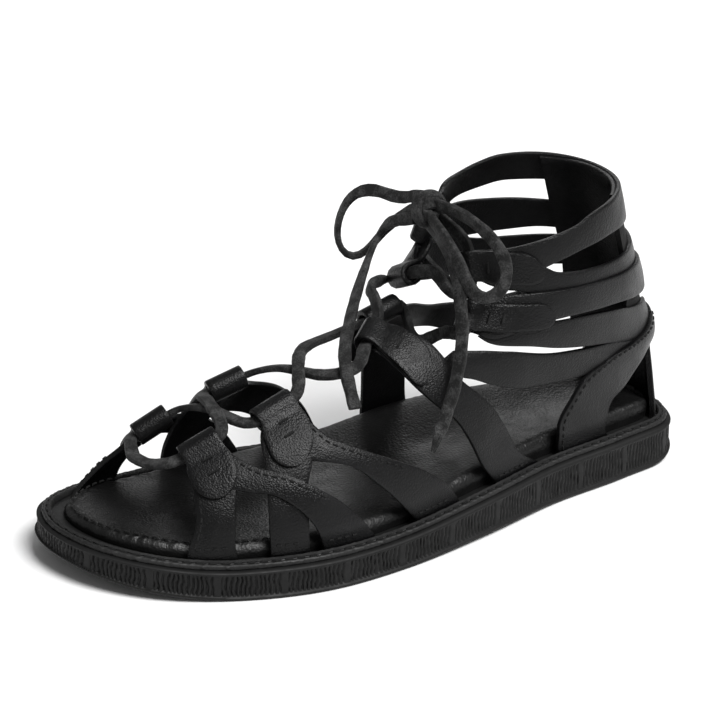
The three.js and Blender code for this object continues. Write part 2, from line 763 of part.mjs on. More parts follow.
// The welt: a flat strip between two insets of the outline.
function makeWelt() {
  const stations = 36;
  const outerInset = weltInset;
  const innerInset = strapInset - wall / 2 - 2 * clearance;
  const insets = [
    { inset: outerInset, up: 0 },
    { inset: outerInset + 0.5, up: weltThickness },
    { inset: innerInset, up: weltThickness },
    { inset: innerInset, up: 0 },
  ];
  const lines = insets.map(({ inset }) => pairedEdges(inset, stations));
  const ringAt = (side, i) =>
    lines.map((line, k) => {
      const p = line[side][i];
      return new THREE.Vector3(p.x, p.y, soleTop(p.x) + clearance + insets[k].up);
    });
  const rings = [];
  for (let i = 0; i < stations; i += 1) {
    rings.push(ringAt('outer', i));
  }
  for (let i = stations; i > 0; i -= 1) {
    rings.push(ringAt('inner', i));
  }
  return loft(rings, true);
}

// The footbed: rings across it, with raised rims, an arch bulge on the inner side and a heel cup.
const footbedInset = strapInset + wall / 2 + 6 * clearance;
function footbedTop(x, across) {
  const along = toAlong(x);
  const thick = footbedThickness * read(footbedRows, 'along', along, 'thick');
  const rim = heelCupDepth * read(footbedRows, 'along', along, 'rim') * Math.abs(across) ** 3;
  const inward = THREE.MathUtils.clamp(across, 0, 1);
  const arch = archRise * read(footbedRows, 'along', along, 'arch') * smooth(inward * 1.15);
  const edge = Math.abs(across) > 0.95 ? 0.8 : 0;
  return soleTop(x) + clearance + thick + rim + arch - edge;
}
function makeFootbed() {
  const stations = 27;
  const foot = pairedEdges(footbedInset, stations);
  const lip = pairedEdges(footbedInset + 0.9, stations);
  const acrossShares = [-1, -0.9, -0.65, -0.3, 0, 0.3, 0.65, 0.9, 1];
  const rings = [];
  for (let i = 0; i <= stations; i += 1) {
    const bottom = (p) => new THREE.Vector3(p.x, p.y, soleTop(p.x) + clearance);
    const top = acrossShares.map((across) => {
      const p = lip.outer[i].clone().lerp(lip.inner[i], (across + 1) / 2);
      return new THREE.Vector3(p.x, p.y, footbedTop(p.x, across));
    });
    const shoulder = (p, sign) => new THREE.Vector3(p.x, p.y, footbedTop(p.x, sign) - 2);
    rings.push([
      bottom(foot.outer[i]),
      shoulder(foot.outer[i], -1),
      ...top,
      shoulder(foot.inner[i], 1),
      bottom(foot.inner[i]),
    ]);
  }
  return trimEnds(rings.map((ring) => [...ring, ring[ring.length - 1].clone().lerp(ring[0], 0.5)]));
}

// A point on the foot: arc 180 at the outer sole edge, 90 at the crown, 0 at the inner sole edge.
function footPoint(along, arc) {
  const x = toX(along);
  const outer = edgeAt(strapEdges.outer, x);
  const inner = edgeAt(strapEdges.inner, x);
  const base = soleTop(x) + clearance;
  const crown = instepHeight * read(crownRows, 'along', along, 'crown');
  const angle = THREE.MathUtils.degToRad(arc);
  return new THREE.Vector3(
    x,
    (outer + inner) / 2 + ((inner - outer) / 2) * Math.cos(angle),
    base + (crown - base) * Math.sin(angle),
  );
}

// A point on the ankle: turn from the front round the inner side, up as a share of ankleHeight.
function anklePoint(turn, up) {
  const front = toX(read(ankleRows, 'up', up, 'front'));
  const rear = toX(read(ankleRows, 'up', up, 'rear'));
  const half = (ankleWidth / 2) * read(ankleRows, 'up', up, 'half');
  const angle = THREE.MathUtils.degToRad(turn);
  const reach = (rear - front) / 2;
  const x = (front + rear) / 2 - reach * Math.cos(angle);
  const slender = THREE.MathUtils.clamp((reach / half - 1.4) / 1.2, 0, 1);
  const pinch = innerPinch * slender * smooth((Math.cos(angle) + 0.3) / 0.8);
  const y = ankleShift + (half - (Math.sin(angle) > 0 ? pinch : 0)) * Math.sin(angle);
  const line = Math.sin(angle) > 0 ? strapEdges.inner : strapEdges.outer;
  const atSole = edgeAt(line, Math.min(x, line[line.length - 1].x));
  const share = smooth((up - ankleRows[0].up) / (heelBlendTop - ankleRows[0].up));
  const base = soleTop(x) + clearance;
  const height = up <= ankleRows[0].up ? base : Math.max(up * ankleHeight, base);
  return new THREE.Vector3(x, THREE.MathUtils.lerp(atSole, y, share), height);
}

// The way out of a surface at a point of it.
function outwardAt(surface, u, v, du, dv) {
  const alongU = surface(u + du, v).sub(surface(u - du, v));
  const alongV = surface(u, v + dv).sub(surface(u, v - dv));
  const normal = alongU.cross(alongV);
  if (normal.lengthSq() < 1e-9) {
    return new THREE.Vector3(0, 0, 1);
  }
  normal.normalize();
  const centre = new THREE.Vector3(surface(u, v).x * 0.9, ankleShift / 2, 30);
  return normal.dot(surface(u, v).sub(centre)) < 0 ? normal.negate() : normal;
}

// Layered straps come back to the same edge where they reach the sole.
const footForm = {
  point: footPoint,
  layered: (u, v) => smooth((Math.min(v, 180 - v) - 3) / 8),
  outward: (u, v) => outwardAt(footPoint, u, THREE.MathUtils.clamp(v, 2, 178), 0.004, 2),
};
const ankleForm = {
  point: anklePoint,
  layered: (u, v) => smooth((v - 0.16) / 0.07),
  outward: (u, v) => {
    const normal = outwardAt(anklePoint, u, Math.max(v, 0.2), 2, 0.01);
    return new THREE.Vector3(normal.x, normal.y, v < 0.3 ? 0 : normal.z).normalize();
  },
};

// A strap of the wall's thickness between two edges on a form, each edge a list of places on it.
function strap(form, startEdge, endEdge, steps, across, lift) {
  const rows = startEdge.map((one, i) => ({
    t: i / (startEdge.length - 1),
    u0: one[0],
    v0: one[1],
    u1: endEdge[i][0],
    v1: endEdge[i][1],
  }));
  const rings = [];
  for (let i = 0; i <= steps; i += 1) {
    const t = i / steps;
    const [u0, v0, u1, v1] = ['u0', 'v0', 'u1', 'v1'].map((column) => read(rows, 't', t, column));
    const inner = [];
    const outer = [];
    for (let k = 0; k <= across; k += 1) {
      const u = THREE.MathUtils.lerp(u0, u1, k / across);
      const v = THREE.MathUtils.lerp(v0, v1, k / across);
      const p = form.point(u, v);
      const n = form.outward(u, v);
      const raised = lift * form.layered(u, v);
      inner.push(p.clone().addScaledVector(n, raised - wall / 2));
      outer.push(p.clone().addScaledVector(n, raised + wall / 2));
    }
    rings.push([...inner, ...outer.reverse()]);
  }
  return loft(rings);
}

const footStrap = ({ rows, layer }) =>
  strap(
    footForm,
    rows.map((row) => [row.front, row.frontArc]),
    rows.map((row) => [row.back, row.backArc]),
    rows.length + 3,
    1,
    layer * layerStep,
  );
const ankleStrap = ({ rows, layer }) =>
  strap(
    ankleForm,
    rows.map((row) => [row.lowTurn, row.low]),
    rows.map((row) => [row.highTurn, row.high]),
    rows.length + 3,
    Math.ceil(4 * Math.max(...rows.map((row) => row.high - row.low))),
    layer * layerStep,
  );

// A flap on a form, from the fold to a round end, and the tunnel at the fold.
function tab(form, startU, startV, endU, endV, moveU, moveV, lift) {
  const roundShare = 0.36;
  const ends = [0, 0.3, 0.64, 0.8, 0.92, 1];
  const widths = ends.map((t) => {
    const over = Math.max(0, (t - (1 - roundShare)) / roundShare);
    return Math.max(0.2, Math.sqrt(Math.max(0, 1 - over * over)));
  });
  const edge = (sign) =>
    ends.map((t, i) => {
      const middle = [(startU + endU) / 2 + moveU * t, (startV + endV) / 2 + moveV * t];
      const half = [((endU - startU) / 2) * widths[i], ((endV - startV) / 2) * widths[i]];
      return [middle[0] + sign * half[0], middle[1] + sign * half[1]];
    });
  const flap = strap(form, edge(-1), edge(1), 7, 1, (lift - 1) * layerStep);
  const a = form.point(startU, startV);
  const axis = form.point(endU, endV).sub(a);
  const width = axis.length();
  axis.normalize();
  const middleU = (startU + endU) / 2;
  const middleV = (startV + endV) / 2;
  const out = form.outward(middleU, middleV);
  out.addScaledVector(axis, -out.dot(axis)).normalize();
  const ahead = form.point(middleU - moveU * 0.05, middleV - moveV * 0.05).sub(form.point(middleU, middleV));
  ahead.addScaledVector(axis, -ahead.dot(axis)).addScaledVector(out, -ahead.dot(out)).normalize();
  const start = a.clone().addScaledVector(ahead, tunnelRadius * tunnelAhead);
  start.addScaledVector(out, ((lift - 1) * layerStep) / 2);
  const second = axis.clone().cross(ahead).normalize();
  const placed = new THREE.Matrix4().makeBasis(ahead, second, axis).setPosition(start);
  return {
    body: flap.add(rod(tunnelRadius, 0, width, placed)),
    bore: rod(tunnelBore / 2, -3, width + 3, placed),
    start,
    end: start.clone().addScaledVector(axis, width),
    axis,
  };
}

const tunnelRadius = tunnelBore / 2 + tunnelWall;

function rod(radius, low, high, placed) {
  const disc = new THREE.Shape();
  disc.absarc(0, 0, radius, 0, Math.PI * 2, false);
  const geometry = new THREE.ExtrudeGeometry(disc, { depth: high - low, bevelEnabled: false, curveSegments: 4 });
  geometry.translate(0, 0, low);
  geometry.applyMatrix4(placed);
  return toManifold(geometry);
}

// A place on the foot or the ankle, raised by a number of lace thicknesses, or one beside the knot.
function lacePlace({ along, arc, turn, up, out, across, above, front }) {
  if (across !== undefined) {
    return new THREE.Vector3(front, across, above).multiplyScalar(laceWidth).applyMatrix4(knotFrame());
  }
  const [form, u, v] = along === undefined ? [ankleForm, turn, up] : [footForm, along, arc];
  return form.point(u, v).addScaledVector(form.outward(u, v), out * laceThickness);
}

function knotFrame() {
  const front = ankleForm.outward(knotPlace.turn, knotPlace.up).setZ(0).normalize();
  const above = new THREE.Vector3(0, 0, 1);
  const across = above.clone().cross(front).negate();
  return new THREE.Matrix4().makeBasis(front, across, above).setPosition(lacePlace(knotPlace));
}

// The knot as one rounded lump, larger all round by a margin.
function knotSolid(margin) {
  const ball = new THREE.SphereGeometry(1, 10, 6);
  const { across, above, front } = knotRadii;
  const reach = new THREE.Vector3(front, across, above).multiplyScalar(laceWidth).addScalar(margin);
  ball.scale(reach.x, reach.y, reach.z);
  ball.applyMatrix4(knotFrame());
  return toManifold(ball);
}

// The flat lace along a curve, its wide side facing away from the inside of the shoe.
function laceAlong(points, stepLength) {
  const curve = new THREE.CatmullRomCurve3(points, false, 'centripetal');
  const steps = Math.max(4, Math.round(curve.getLength() / stepLength));
  const shape = [
    [0.5, 0],
    [0.32, 0.5],
    [-0.32, 0.5],
    [-0.5, 0],
    [-0.32, -0.5],
    [0.32, -0.5],
  ];
  const rings = [];
  for (let i = 0; i <= steps; i += 1) {
    const p = curve.getPointAt(i / steps);
    const ahead = curve.getTangentAt(i / steps);
    const share = smooth((p.x - toX(0.36)) / (0.2 * soleLength));
    const inside = new THREE.Vector3(p.x, ankleShift * share, 0);
    inside.lerp(new THREE.Vector3(toX(0.76), ankleShift, p.z), share);
    const out = p.clone().sub(inside);
    out.addScaledVector(ahead, -out.dot(ahead)).normalize();
    const side = ahead.clone().cross(out);
    const corner = ([a, b]) =>
      p.clone().addScaledVector(side, a * laceWidth).addScaledVector(out, b * laceThickness);
    rings.push(shape.map(corner));
  }
  return loft(rings);
}

const black = { color: 0x151515, roughness: 0.55, metalness: 0 };
const materials = {
  rubber: new THREE.MeshStandardMaterial({ color: 0x1b1b1b, roughness: 0.8, metalness: 0 }),
  leather: new THREE.MeshStandardMaterial(black),
  lining: new THREE.MeshStandardMaterial({ color: 0x191919, roughness: 0.6, metalness: 0 }),
  lace: new THREE.MeshStandardMaterial({ color: 0x1e1e1e, roughness: 0.95, metalness: 0 }),
};

const sandal = new THREE.Group();
function addPiece(name, solid, material) {
  const mesh = new THREE.Mesh(toGeometry(solid), material);
  mesh.name = name;
  sandal.add(mesh);
}

addPiece('outsole', makeOutsole(), materials.rubber);
addPiece('welt', makeWelt(), materials.leather);
addPiece('footbed', makeFootbed(), materials.lining);

const tabs = [
  ...footTabs.map((one) => ({
    ...one,
    ...tab(footForm, one.front, one.frontArc, one.back, one.backArc, one.drift ?? 0, one.reach, one.lift),
  })),
  ...ankleTabs.map((one) => ({
    ...one,
    piece: 'ankle',
    ...tab(ankleForm, one.lowTurn, one.low, one.highTurn, one.high, one.reach, one.climb ?? 0, one.lift),
  })),
];
const bores = tabs.map((one) => one.bore).reduce((all, one) => all.add(one));
function withTabs(piece, straps) {
  const bodies = tabs.filter((one) => one.piece === piece).map((one) => one.body);
  return joined([joined([...straps, ...bodies]).subtract(bores)]);
}

addPiece('forefoot_straps_outer', withTabs('outer', outerStraps.map(footStrap)), materials.leather);
addPiece('forefoot_straps_inner', withTabs('inner', innerStraps.map(footStrap)), materials.leather);
const ankleSolids = [...instepStraps.map(footStrap), ...ankleStraps.map(ankleStrap)];
addPiece('ankle_straps', withTabs('ankle', ankleSolids), materials.leather);

// A half of the lace goes straight into each tunnel and straight out of it.
function laceHalf(places) {
  const points = places.flatMap((place) => {
    if (!place.through) {
      return [lacePlace(place)];
    }
    const { start, end, axis } = tabs.find((one) => one.name === place.through);
    const stub = axis.clone().multiplyScalar(laceThickness * 1.1);
    return [start.clone().sub(stub), start.clone().lerp(end, 0.3), start.clone().lerp(end, 0.7), end.clone().add(stub)];
  });
  return laceAlong(points, 8);
}
const knotRoom = knotSolid(clearance);
addPiece('lace_crossings', joined([joined(laceHalves.map(laceHalf)).subtract(knotRoom)]), materials.lace);
addPiece('lace_knot', knotSolid(0), materials.lace);
laceCords.forEach(({ name, by }) => {
  addPiece(name, laceAlong(by.map(lacePlace), 7).subtract(knotRoom), materials.lace);
});

export default sandal;
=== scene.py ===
import bisect
import math
import bpy
import bmesh
import numpy as np
from mathutils import Matrix, Vector


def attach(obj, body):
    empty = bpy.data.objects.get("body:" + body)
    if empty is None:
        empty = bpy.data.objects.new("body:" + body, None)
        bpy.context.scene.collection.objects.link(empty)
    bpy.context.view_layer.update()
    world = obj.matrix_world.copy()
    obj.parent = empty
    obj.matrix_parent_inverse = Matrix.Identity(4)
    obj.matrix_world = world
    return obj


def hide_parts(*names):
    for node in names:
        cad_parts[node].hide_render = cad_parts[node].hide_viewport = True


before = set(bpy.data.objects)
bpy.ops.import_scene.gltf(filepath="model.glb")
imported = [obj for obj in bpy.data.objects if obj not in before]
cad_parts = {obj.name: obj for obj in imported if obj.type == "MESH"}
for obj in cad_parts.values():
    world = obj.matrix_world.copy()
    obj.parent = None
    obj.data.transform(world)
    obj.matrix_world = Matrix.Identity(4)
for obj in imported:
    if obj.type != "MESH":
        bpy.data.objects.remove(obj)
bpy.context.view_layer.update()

# Camera: the picture's angle to the shoe, a little rolled.
cameraFacts = {"azimuth": -31.70, "elevation": 27.14, "roll": -2.62, "distance": 0.924, "lens": 119.53,
               "aimRight": -0.00843, "aimUp": 0.06104}


def placeCamera(facts):
    a, e, r = (math.radians(facts[key]) for key in ("azimuth", "elevation", "roll"))
    back = Vector((math.sin(a) * math.cos(e), -math.cos(a) * math.cos(e), math.sin(e)))
    flatRight = Vector((math.cos(a), math.sin(a), 0))
    flatUp = back.cross(flatRight)
    right = flatRight * math.cos(r) - flatUp * math.sin(r)
    up = flatRight * math.sin(r) + flatUp * math.cos(r)
    look = (-back + right * facts["aimRight"] + up * facts["aimUp"]).normalized()
    up = (up - look * up.dot(look)).normalized()
    right = look.cross(up)
    made = bpy.data.objects.new("camera", bpy.data.cameras.new("camera"))
    made.data.lens = facts["lens"]
    made.data.sensor_width = 36
    turned = Matrix((right, up, -look)).transposed().to_4x4()
    made.matrix_world = Matrix.Translation(back * facts["distance"]) @ turned
    bpy.context.scene.collection.objects.link(made)
    bpy.context.scene.camera = made


placeCamera(cameraFacts)
print("camera")


# Colours and the node-adding helper.
def rgb(code):
    parts = [int(code[i:i + 2], 16) / 255 for i in (0, 2, 4)]
    return tuple(c / 12.92 if c <= 0.04045 else ((c + 0.055) / 1.055) ** 2.4 for c in parts) + (1,)


def feed(tree, node, inputs):
    for key, value in dict(inputs).items():
        if isinstance(value, bpy.types.NodeSocket):
            tree.links.new(value, node.inputs[key])
        else:
            node.inputs[key].default_value = value


# Inputs are values or links, and stops are a ramp's two places with their colours.
def add(tree, kind, inputs=(), stops=(), **settings):
    made = tree.nodes.new("ShaderNode" + kind)
    for key, value in settings.items():
        setattr(made, key, value)
    for k, (at, shade) in enumerate(stops):
        made.color_ramp.elements[k].position = at
        made.color_ramp.elements[k].color = shade
    feed(tree, made, inputs)
    return made


def grey(value):
    return (value, value, value, 1)


def surface(name):
    made = bpy.data.materials.new(name)
    made.use_nodes = True
    tree = made.node_tree
    tree.nodes.clear()
    place = add(tree, "TexCoord").outputs["Object"]
    skin = add(tree, "BsdfPrincipled")
    add(tree, "OutputMaterial", {"Surface": skin.outputs["BSDF"]})
    return made, tree, place, skin


# Relief layers, each laid on the one before: height, strength and depth in metres.
def layRelief(tree, skin, layers):
    normal = None
    for height, strength, depth in layers:
        inputs = {"Height": height, "Strength": strength, "Distance": depth}
        if normal is not None:
            inputs["Normal"] = normal
        normal = add(tree, "Bump", inputs).outputs["Normal"]
    tree.links.new(normal, skin.inputs["Normal"])


def leather(name, dark, light, rough, grain, gloss):
    made, tree, place, skin = surface(name)
    pores = add(tree, "TexVoronoi", {"Vector": place, "Scale": grain, "Randomness": 1.0}).outputs["Distance"]
    fine = add(tree, "TexNoise", {"Vector": place, "Scale": grain * 1.8, "Detail": 3.0}).outputs["Fac"]
    pull = add(tree, "TexNoise", {"Vector": place, "Scale": 95.0, "Detail": 5.0,
                                  "Distortion": 0.6}).outputs["Fac"]
    wide = add(tree, "TexNoise", {"Vector": place, "Scale": 38.0, "Detail": 3.0}).outputs["Fac"]
    shade = add(tree, "ValToRGB", {"Fac": wide}, [(0.3, rgb(dark)), (0.7, rgb(light))]).outputs["Color"]
    dull = [(0.3, grey(rough - 0.07)), (0.7, grey(rough + 0.1))]
    scuff = add(tree, "ValToRGB", {"Fac": pull}, dull).outputs["Color"]
    feed(tree, skin, {"Base Color": shade, "Roughness": scuff, "Specular IOR Level": gloss})
    layRelief(tree, skin, [(pull, 0.2, 0.001), (pores, 0.5, 0.00025), (fine, 0.45, 0.00025)])
    return made


# Pattern scales count per metre: grain 1400 puts the pores 0.7 mm apart, 900 about 1.1 mm and 520 about 2 mm.
# Real pores and nap are finer, and are drawn as coarse as they need to show. Pull marks (95) are 10 mm apart,
# and the mottling (38) changes over 26 mm.
# Satin black grained cowhide: fine pores, a soft highlight, faint pull marks.
strapLeather = leather("black grained cowhide", "060606", "0e0e0f", 0.35, 1400.0, 0.25)
# The same hide's flesh side: matt, napped, a shade greyer.
fleshSide = leather("napped flesh side", "0e0e0e", "181818", 0.75, 800.0, 0.2)
# Smooth thin insole leather, polished by wear, with soft mottling.
insoleLeather = leather("smooth insole leather", "070707", "121212", 0.42, 900.0, 0.4)
# Thick rough welt leather, dull, with a raised fibre.
weltLeather = leather("rough welt leather", "101010", "202020", 0.55, 520.0, 0.4)


# Dust (260) speckles over 4 mm and finer, shades (30) change over 33 mm, and the tread's waves are 6 mm wide.
def rubber():
    made, tree, place, skin = surface("moulded black rubber")
    dust = add(tree, "TexNoise", {"Vector": place, "Scale": 260.0, "Detail": 6.0}).outputs["Fac"]
    wide = add(tree, "TexNoise", {"Vector": place, "Scale": 30.0, "Detail": 2.0}).outputs["Fac"]
    tread = add(tree, "TexWave", {"Vector": place, "Scale": 55.0, "Distortion": 3.0, "Detail": 1.0},
                wave_type="BANDS", bands_direction="X")
    below = add(tree, "SeparateXYZ", {"Vector": add(tree, "NewGeometry").outputs["Normal"]}).outputs["Z"]
    under = add(tree, "Math", {0: below, 1: -0.9}, operation="LESS_THAN").outputs["Value"]
    relief = add(tree, "Math", {0: tread.outputs["Fac"], 1: under}, operation="MULTIPLY").outputs["Value"]
    shade = add(tree, "ValToRGB", {"Fac": wide}, [(0.3, rgb("0a0a0a")),
                                                  (0.7, rgb("121212"))]).outputs["Color"]
    scuff = add(tree, "ValToRGB", {"Fac": dust}, [(0.3, grey(0.5)), (0.75, grey(0.7))]).outputs["Color"]
    feed(tree, skin, {"Base Color": shade, "Roughness": scuff, "Specular IOR Level": 0.3})
    layRelief(tree, skin, [(relief, 1.0, 0.0016), (dust, 0.3, 0.00025)])
    return made


# Matt moulded rubber: dusty, with a shallow wavy tread on its underside.
soleRubber = rubber()


# The nap's tufts are 0.7 mm across at 1500 (0.4 mm at 2600), and brushed patches six times as wide.
def suede(name, dark, light, nap):
    made, tree, place, skin = surface(name)
    pile = add(tree, "TexNoise", {"Vector": place, "Scale": nap, "Detail": 6.0,
                                  "Roughness": 0.7}).outputs["Fac"]
    brushed = add(tree, "TexNoise", {"Vector": place, "Scale": nap * 0.16, "Detail": 3.0}).outputs["Fac"]
    both = add(tree, "Math", {0: pile, 1: brushed}, operation="MULTIPLY").outputs["Value"]
    shade = add(tree, "ValToRGB", {"Fac": both}, [(0.2, rgb(dark)), (0.42, rgb(light))]).outputs["Color"]
    feed(tree, skin, {"Base Color": shade, "Roughness": 0.7, "Specular IOR Level": 0.3,
                      "Sheen Weight": 0.04, "Sheen Roughness": 0.5})
    layRelief(tree, skin, [(brushed, 0.4, 0.0005), (pile, 0.8, 0.0005)])
    return made


# Napped suede thong: matt, greyer than the straps, slightly brushed.
laceSuede = suede("black suede thong", "080808", "484848", 1500.0)
# Waxed linen thread: dark fine fibres, with little shine.
waxedThread = suede("waxed linen thread", "040404", "141414", 2600.0)

# Driving sizes in millimetres, as the solids have them.
soleLength = 270
ballWidth = 100
forefootSole = 11.2
heelSole = 16.4
toeSpring = 8.8
waistLift = 1.2
heelRoll = 4.6
strapInset = 8
weltInset = 2.8
weltThickness = 1.7
footbedThickness = 5.4
heelCupDepth = 3.2
archRise = 5
instepHeight = 77
ankleHeight = 121
ankleWidth = 66
ankleShift = 9
wall = 2.2
layerStep = wall - 0.6
leatherThickness = wall - 0.2
tunnelRadius = 4.8
clearance = 0.3
heelBlendTop = 0.4
innerPinch = 19
laceWidth = 4.2
laceThickness = 2.2


def table(names, *rows):
    return [dict(zip(names.split(), row)) for row in rows]


outlineRows = table("along lateral medial", (0.022, 0.077, 0.316), (0.089, 0.281, 0.435),
                    (0.195, 0.426, 0.49), (0.311, 0.5, 0.5), (0.44, 0.483, 0.456), (0.588, 0.405, 0.432),
                    (0.735, 0.29, 0.446), (0.87, 0.226, 0.424), (0.972, 0.145, 0.272))
toeTipMedial = 0.139
heelTipMedial = 0.045
soleRows = table("along spring waist roll rise", (0, 1, 0, 0, -0.72), (0.08, 0.37, 0, 0, -0.15),
                 (0.2, 0, 0, 0, 0), (0.4, 0, 0, 0, 0.1), (0.6, 0, 1, 0, 0.5), (0.8, 0, 0, 0, 0.95),
                 (0.93, 0, 0, 0, 1), (1, 0, 0, 1, 0.2))
footbedRows = table("along thick rim arch", (0, 0.7, 0.2, 0), (0.12, 0.95, 0.2, 0), (0.3, 1, 0.15, 0),
                    (0.45, 1.05, 0.35, 0.45), (0.58, 1.15, 0.7, 1), (0.75, 1.2, 1, 0.4), (1, 1.2, 1.1, 0))
crownRows = table("along crown", (0, 0.2), (0.0926, 0.39), (0.185, 0.62), (0.296, 0.78), (0.5, 1),
                  (0.611, 1.17), (0.722, 1.3), (1, 1.4))
ankleRows = table("up front rear half", (0.124, 0.074, 0.97, 0.94), (0.413, 0.241, 0.967, 1),
                  (0.537, 0.381, 0.948, 1), (0.636, 0.507, 0.93, 0.985), (0.744, 0.574, 0.911, 0.97),
                  (0.95, 0.611, 0.881, 0.91), (1.05, 0.622, 0.868, 0.89))


# A cubic from a to b, with the slopes from and to over the span.
def cubic(t, a, slopeA, b, slopeB):
    return ((2 * t ** 3 - 3 * t ** 2 + 1) * a + (t ** 3 - 2 * t ** 2 + t) * slopeA
            + (3 * t ** 2 - 2 * t ** 3) * b + (t ** 3 - t ** 2) * slopeB)


# A column of a table at a place between its rows.
def read(rows, key, at, column):
    last = len(rows) - 1
    x = min(max(at, rows[0][key]), rows[last][key])
    i = 0
    while i < last - 1 and x > rows[i + 1][key]:
        i += 1

    def slope(k):
        return (rows[k + 1][column] - rows[k][column]) / (rows[k + 1][key] - rows[k][key])

    def tangent(k):
        if k in (0, last):
            return slope(0) if k == 0 else slope(last - 1)
        before, after = slope(k - 1), slope(k)
        return 0 if before * after <= 0 else 2 * before * after / (before + after)

    span = rows[i + 1][key] - rows[i][key]
    t = (x - rows[i][key]) / span
    return cubic(t, rows[i][column], span * tangent(i), rows[i + 1][column], span * tangent(i + 1))


def smooth(t):
    c = min(max(t, 0), 1)
    return c * c * (3 - 2 * c)


def toX(along):
    return (along - 0.5) * soleLength


def toAlong(x):
    return x / soleLength + 0.5


# A centripetal curve through points, as a fine line of an even number of steps per span.
def curveThrough(points, closed, perSpan):
    pts = np.array([tuple(p) for p in points], float)
    count = len(pts)
    spans = count if closed else count - 1
    if closed:
        pick = lambda i: pts[i % count]
    else:
        ends = np.vstack([2 * pts[0] - pts[1], pts, 2 * pts[-1] - pts[-2]])
        pick = lambda i: ends[i + 1]
    line = []
    for i in range(spans):
        p0, p1, p2, p3 = pick(i - 1), pick(i), pick(i + 1), pick(i + 2)
        d0, d1, d2 = (max(np.linalg.norm(b - a) ** 0.5, 1e-4) for a, b in ((p0, p1), (p1, p2), (p2, p3)))
        m1 = ((p1 - p0) / d0 - (p2 - p0) / (d0 + d1) + (p2 - p1) / d1) * d1
        m2 = ((p2 - p1) / d1 - (p3 - p1) / (d1 + d2) + (p3 - p2) / d2) * d1
        line.extend(cubic(k / perSpan, p1, m1, p2, m2) for k in range(perSpan))
    if not closed:
        line.append(pts[-1])
    return np.array(line)


def lengths(line):
    return np.concatenate([[0], np.cumsum(np.linalg.norm(np.diff(line, axis=0), axis=1))])


def evenly(line, count):
    at = lengths(line)
    wanted = np.linspace(0, at[-1], count + 1)
    return np.stack([np.interp(wanted, at, line[:, k]) for k in range(line.shape[1])], axis=1)


# A line with its small waves drawn out over a length, its ends held.
def relaxed(line, reach):
    fine = evenly(line, int(lengths(line)[-1] / 0.5))
    step = lengths(fine)[-1] / (len(fine) - 1)
    span = int(3 * reach / step)
    weights = np.exp(-0.5 * (np.arange(-span, span + 1) * step / reach) ** 2)
    head = 2 * fine[0] - fine[1:span + 1][::-1]
    tail = 2 * fine[-1] - fine[-span - 1:-1][::-1]
    padded = np.vstack([head, fine, tail])
    return np.stack([np.convolve(padded[:, k], weights / weights.sum(), "valid") for k in range(3)], axis=1)


def unit(vectors):
    return vectors / np.maximum(np.linalg.norm(vectors, axis=-1, keepdims=True), 1e-9)


outlinePoints = ([(toX(0), toeTipMedial * ballWidth, 0)]
                 + [(toX(row["along"]), -row["lateral"] * ballWidth, 0) for row in outlineRows]
                 + [(toX(1), heelTipMedial * ballWidth, 0)]
                 + [(toX(row["along"]), row["medial"] * ballWidth, 0) for row in reversed(outlineRows)])
fineOutline = curveThrough(outlinePoints, True, 24)
toeIndex = int(np.argmin(fineOutline[:, 0]))
heelIndex = int(np.argmax(fineOutline[:, 0]))


def edgeLine(side, inset):
    count = len(fineOutline)
    first, last = (toeIndex, heelIndex) if side < 0 else (heelIndex, toeIndex)
    order = (first + np.arange((last - first) % count + 1)) % count
    ahead = fineOutline[(order + 2) % count]
    behind = fineOutline[(order - 2) % count]
    inward = unit(np.stack([behind[:, 1] - ahead[:, 1], ahead[:, 0] - behind[:, 0], 0 * order], axis=1))
    line = fineOutline[order] + inward * inset
    return line if side < 0 else line[::-1]


# Both sides of the outline from the toe tip to the heel tip and back, as one closed ring of 2 * count points.
def ringAt(inset, count):
    outer = evenly(edgeLine(-1, inset), count)
    inner = evenly(edgeLine(1, inset), count)
    return np.vstack([outer[:-1], inner[:0:-1]])


# How far round a closed ring each of its points is.
def around(ring):
    return lengths(np.vstack([ring, ring[:1]]))[:-1]


def inwardOf(ring, reach):
    ahead = np.roll(ring, -reach, axis=0) - np.roll(ring, reach, axis=0)
    return unit(np.stack([-ahead[:, 1], ahead[:, 0], 0 * ahead[:, 0]], axis=1))


strapLines = {-1: edgeLine(-1, strapInset), 1: edgeLine(1, strapInset)}
strapSides = {side: (list(line[:, 0]), list(line[:, 1])) for side, line in strapLines.items()}


def edgeAt(side, x):
    xs, ys = strapSides[side]
    if x <= xs[0]:
        return ys[0]
    i = bisect.bisect_left(xs, x)
    if i >= len(xs):
        return ys[-1]
    share = (x - xs[i - 1]) / max(xs[i] - xs[i - 1], 1e-6)
    return ys[i - 1] + (ys[i] - ys[i - 1]) * share


def soleBottom(x):
    along = toAlong(x)
    spring, waist, roll = (read(soleRows, "along", along, key) for key in ("spring", "waist", "roll"))
    return toeSpring * spring + waistLift * waist + heelRoll * roll


def soleTop(x):
    rise = read(soleRows, "along", toAlong(x), "rise")
    return soleBottom(x) + forefootSole + (heelSole - forefootSole) * rise


def footPoint(along, arc):
    x = toX(along)
    outer, inner = edgeAt(-1, x), edgeAt(1, x)
    base = soleTop(x) + clearance
    crown = instepHeight * read(crownRows, "along", along, "crown")
    angle = math.radians(arc)
    return Vector((x, (outer + inner) / 2 + (inner - outer) / 2 * math.cos(angle),
                   base + (crown - base) * math.sin(angle)))


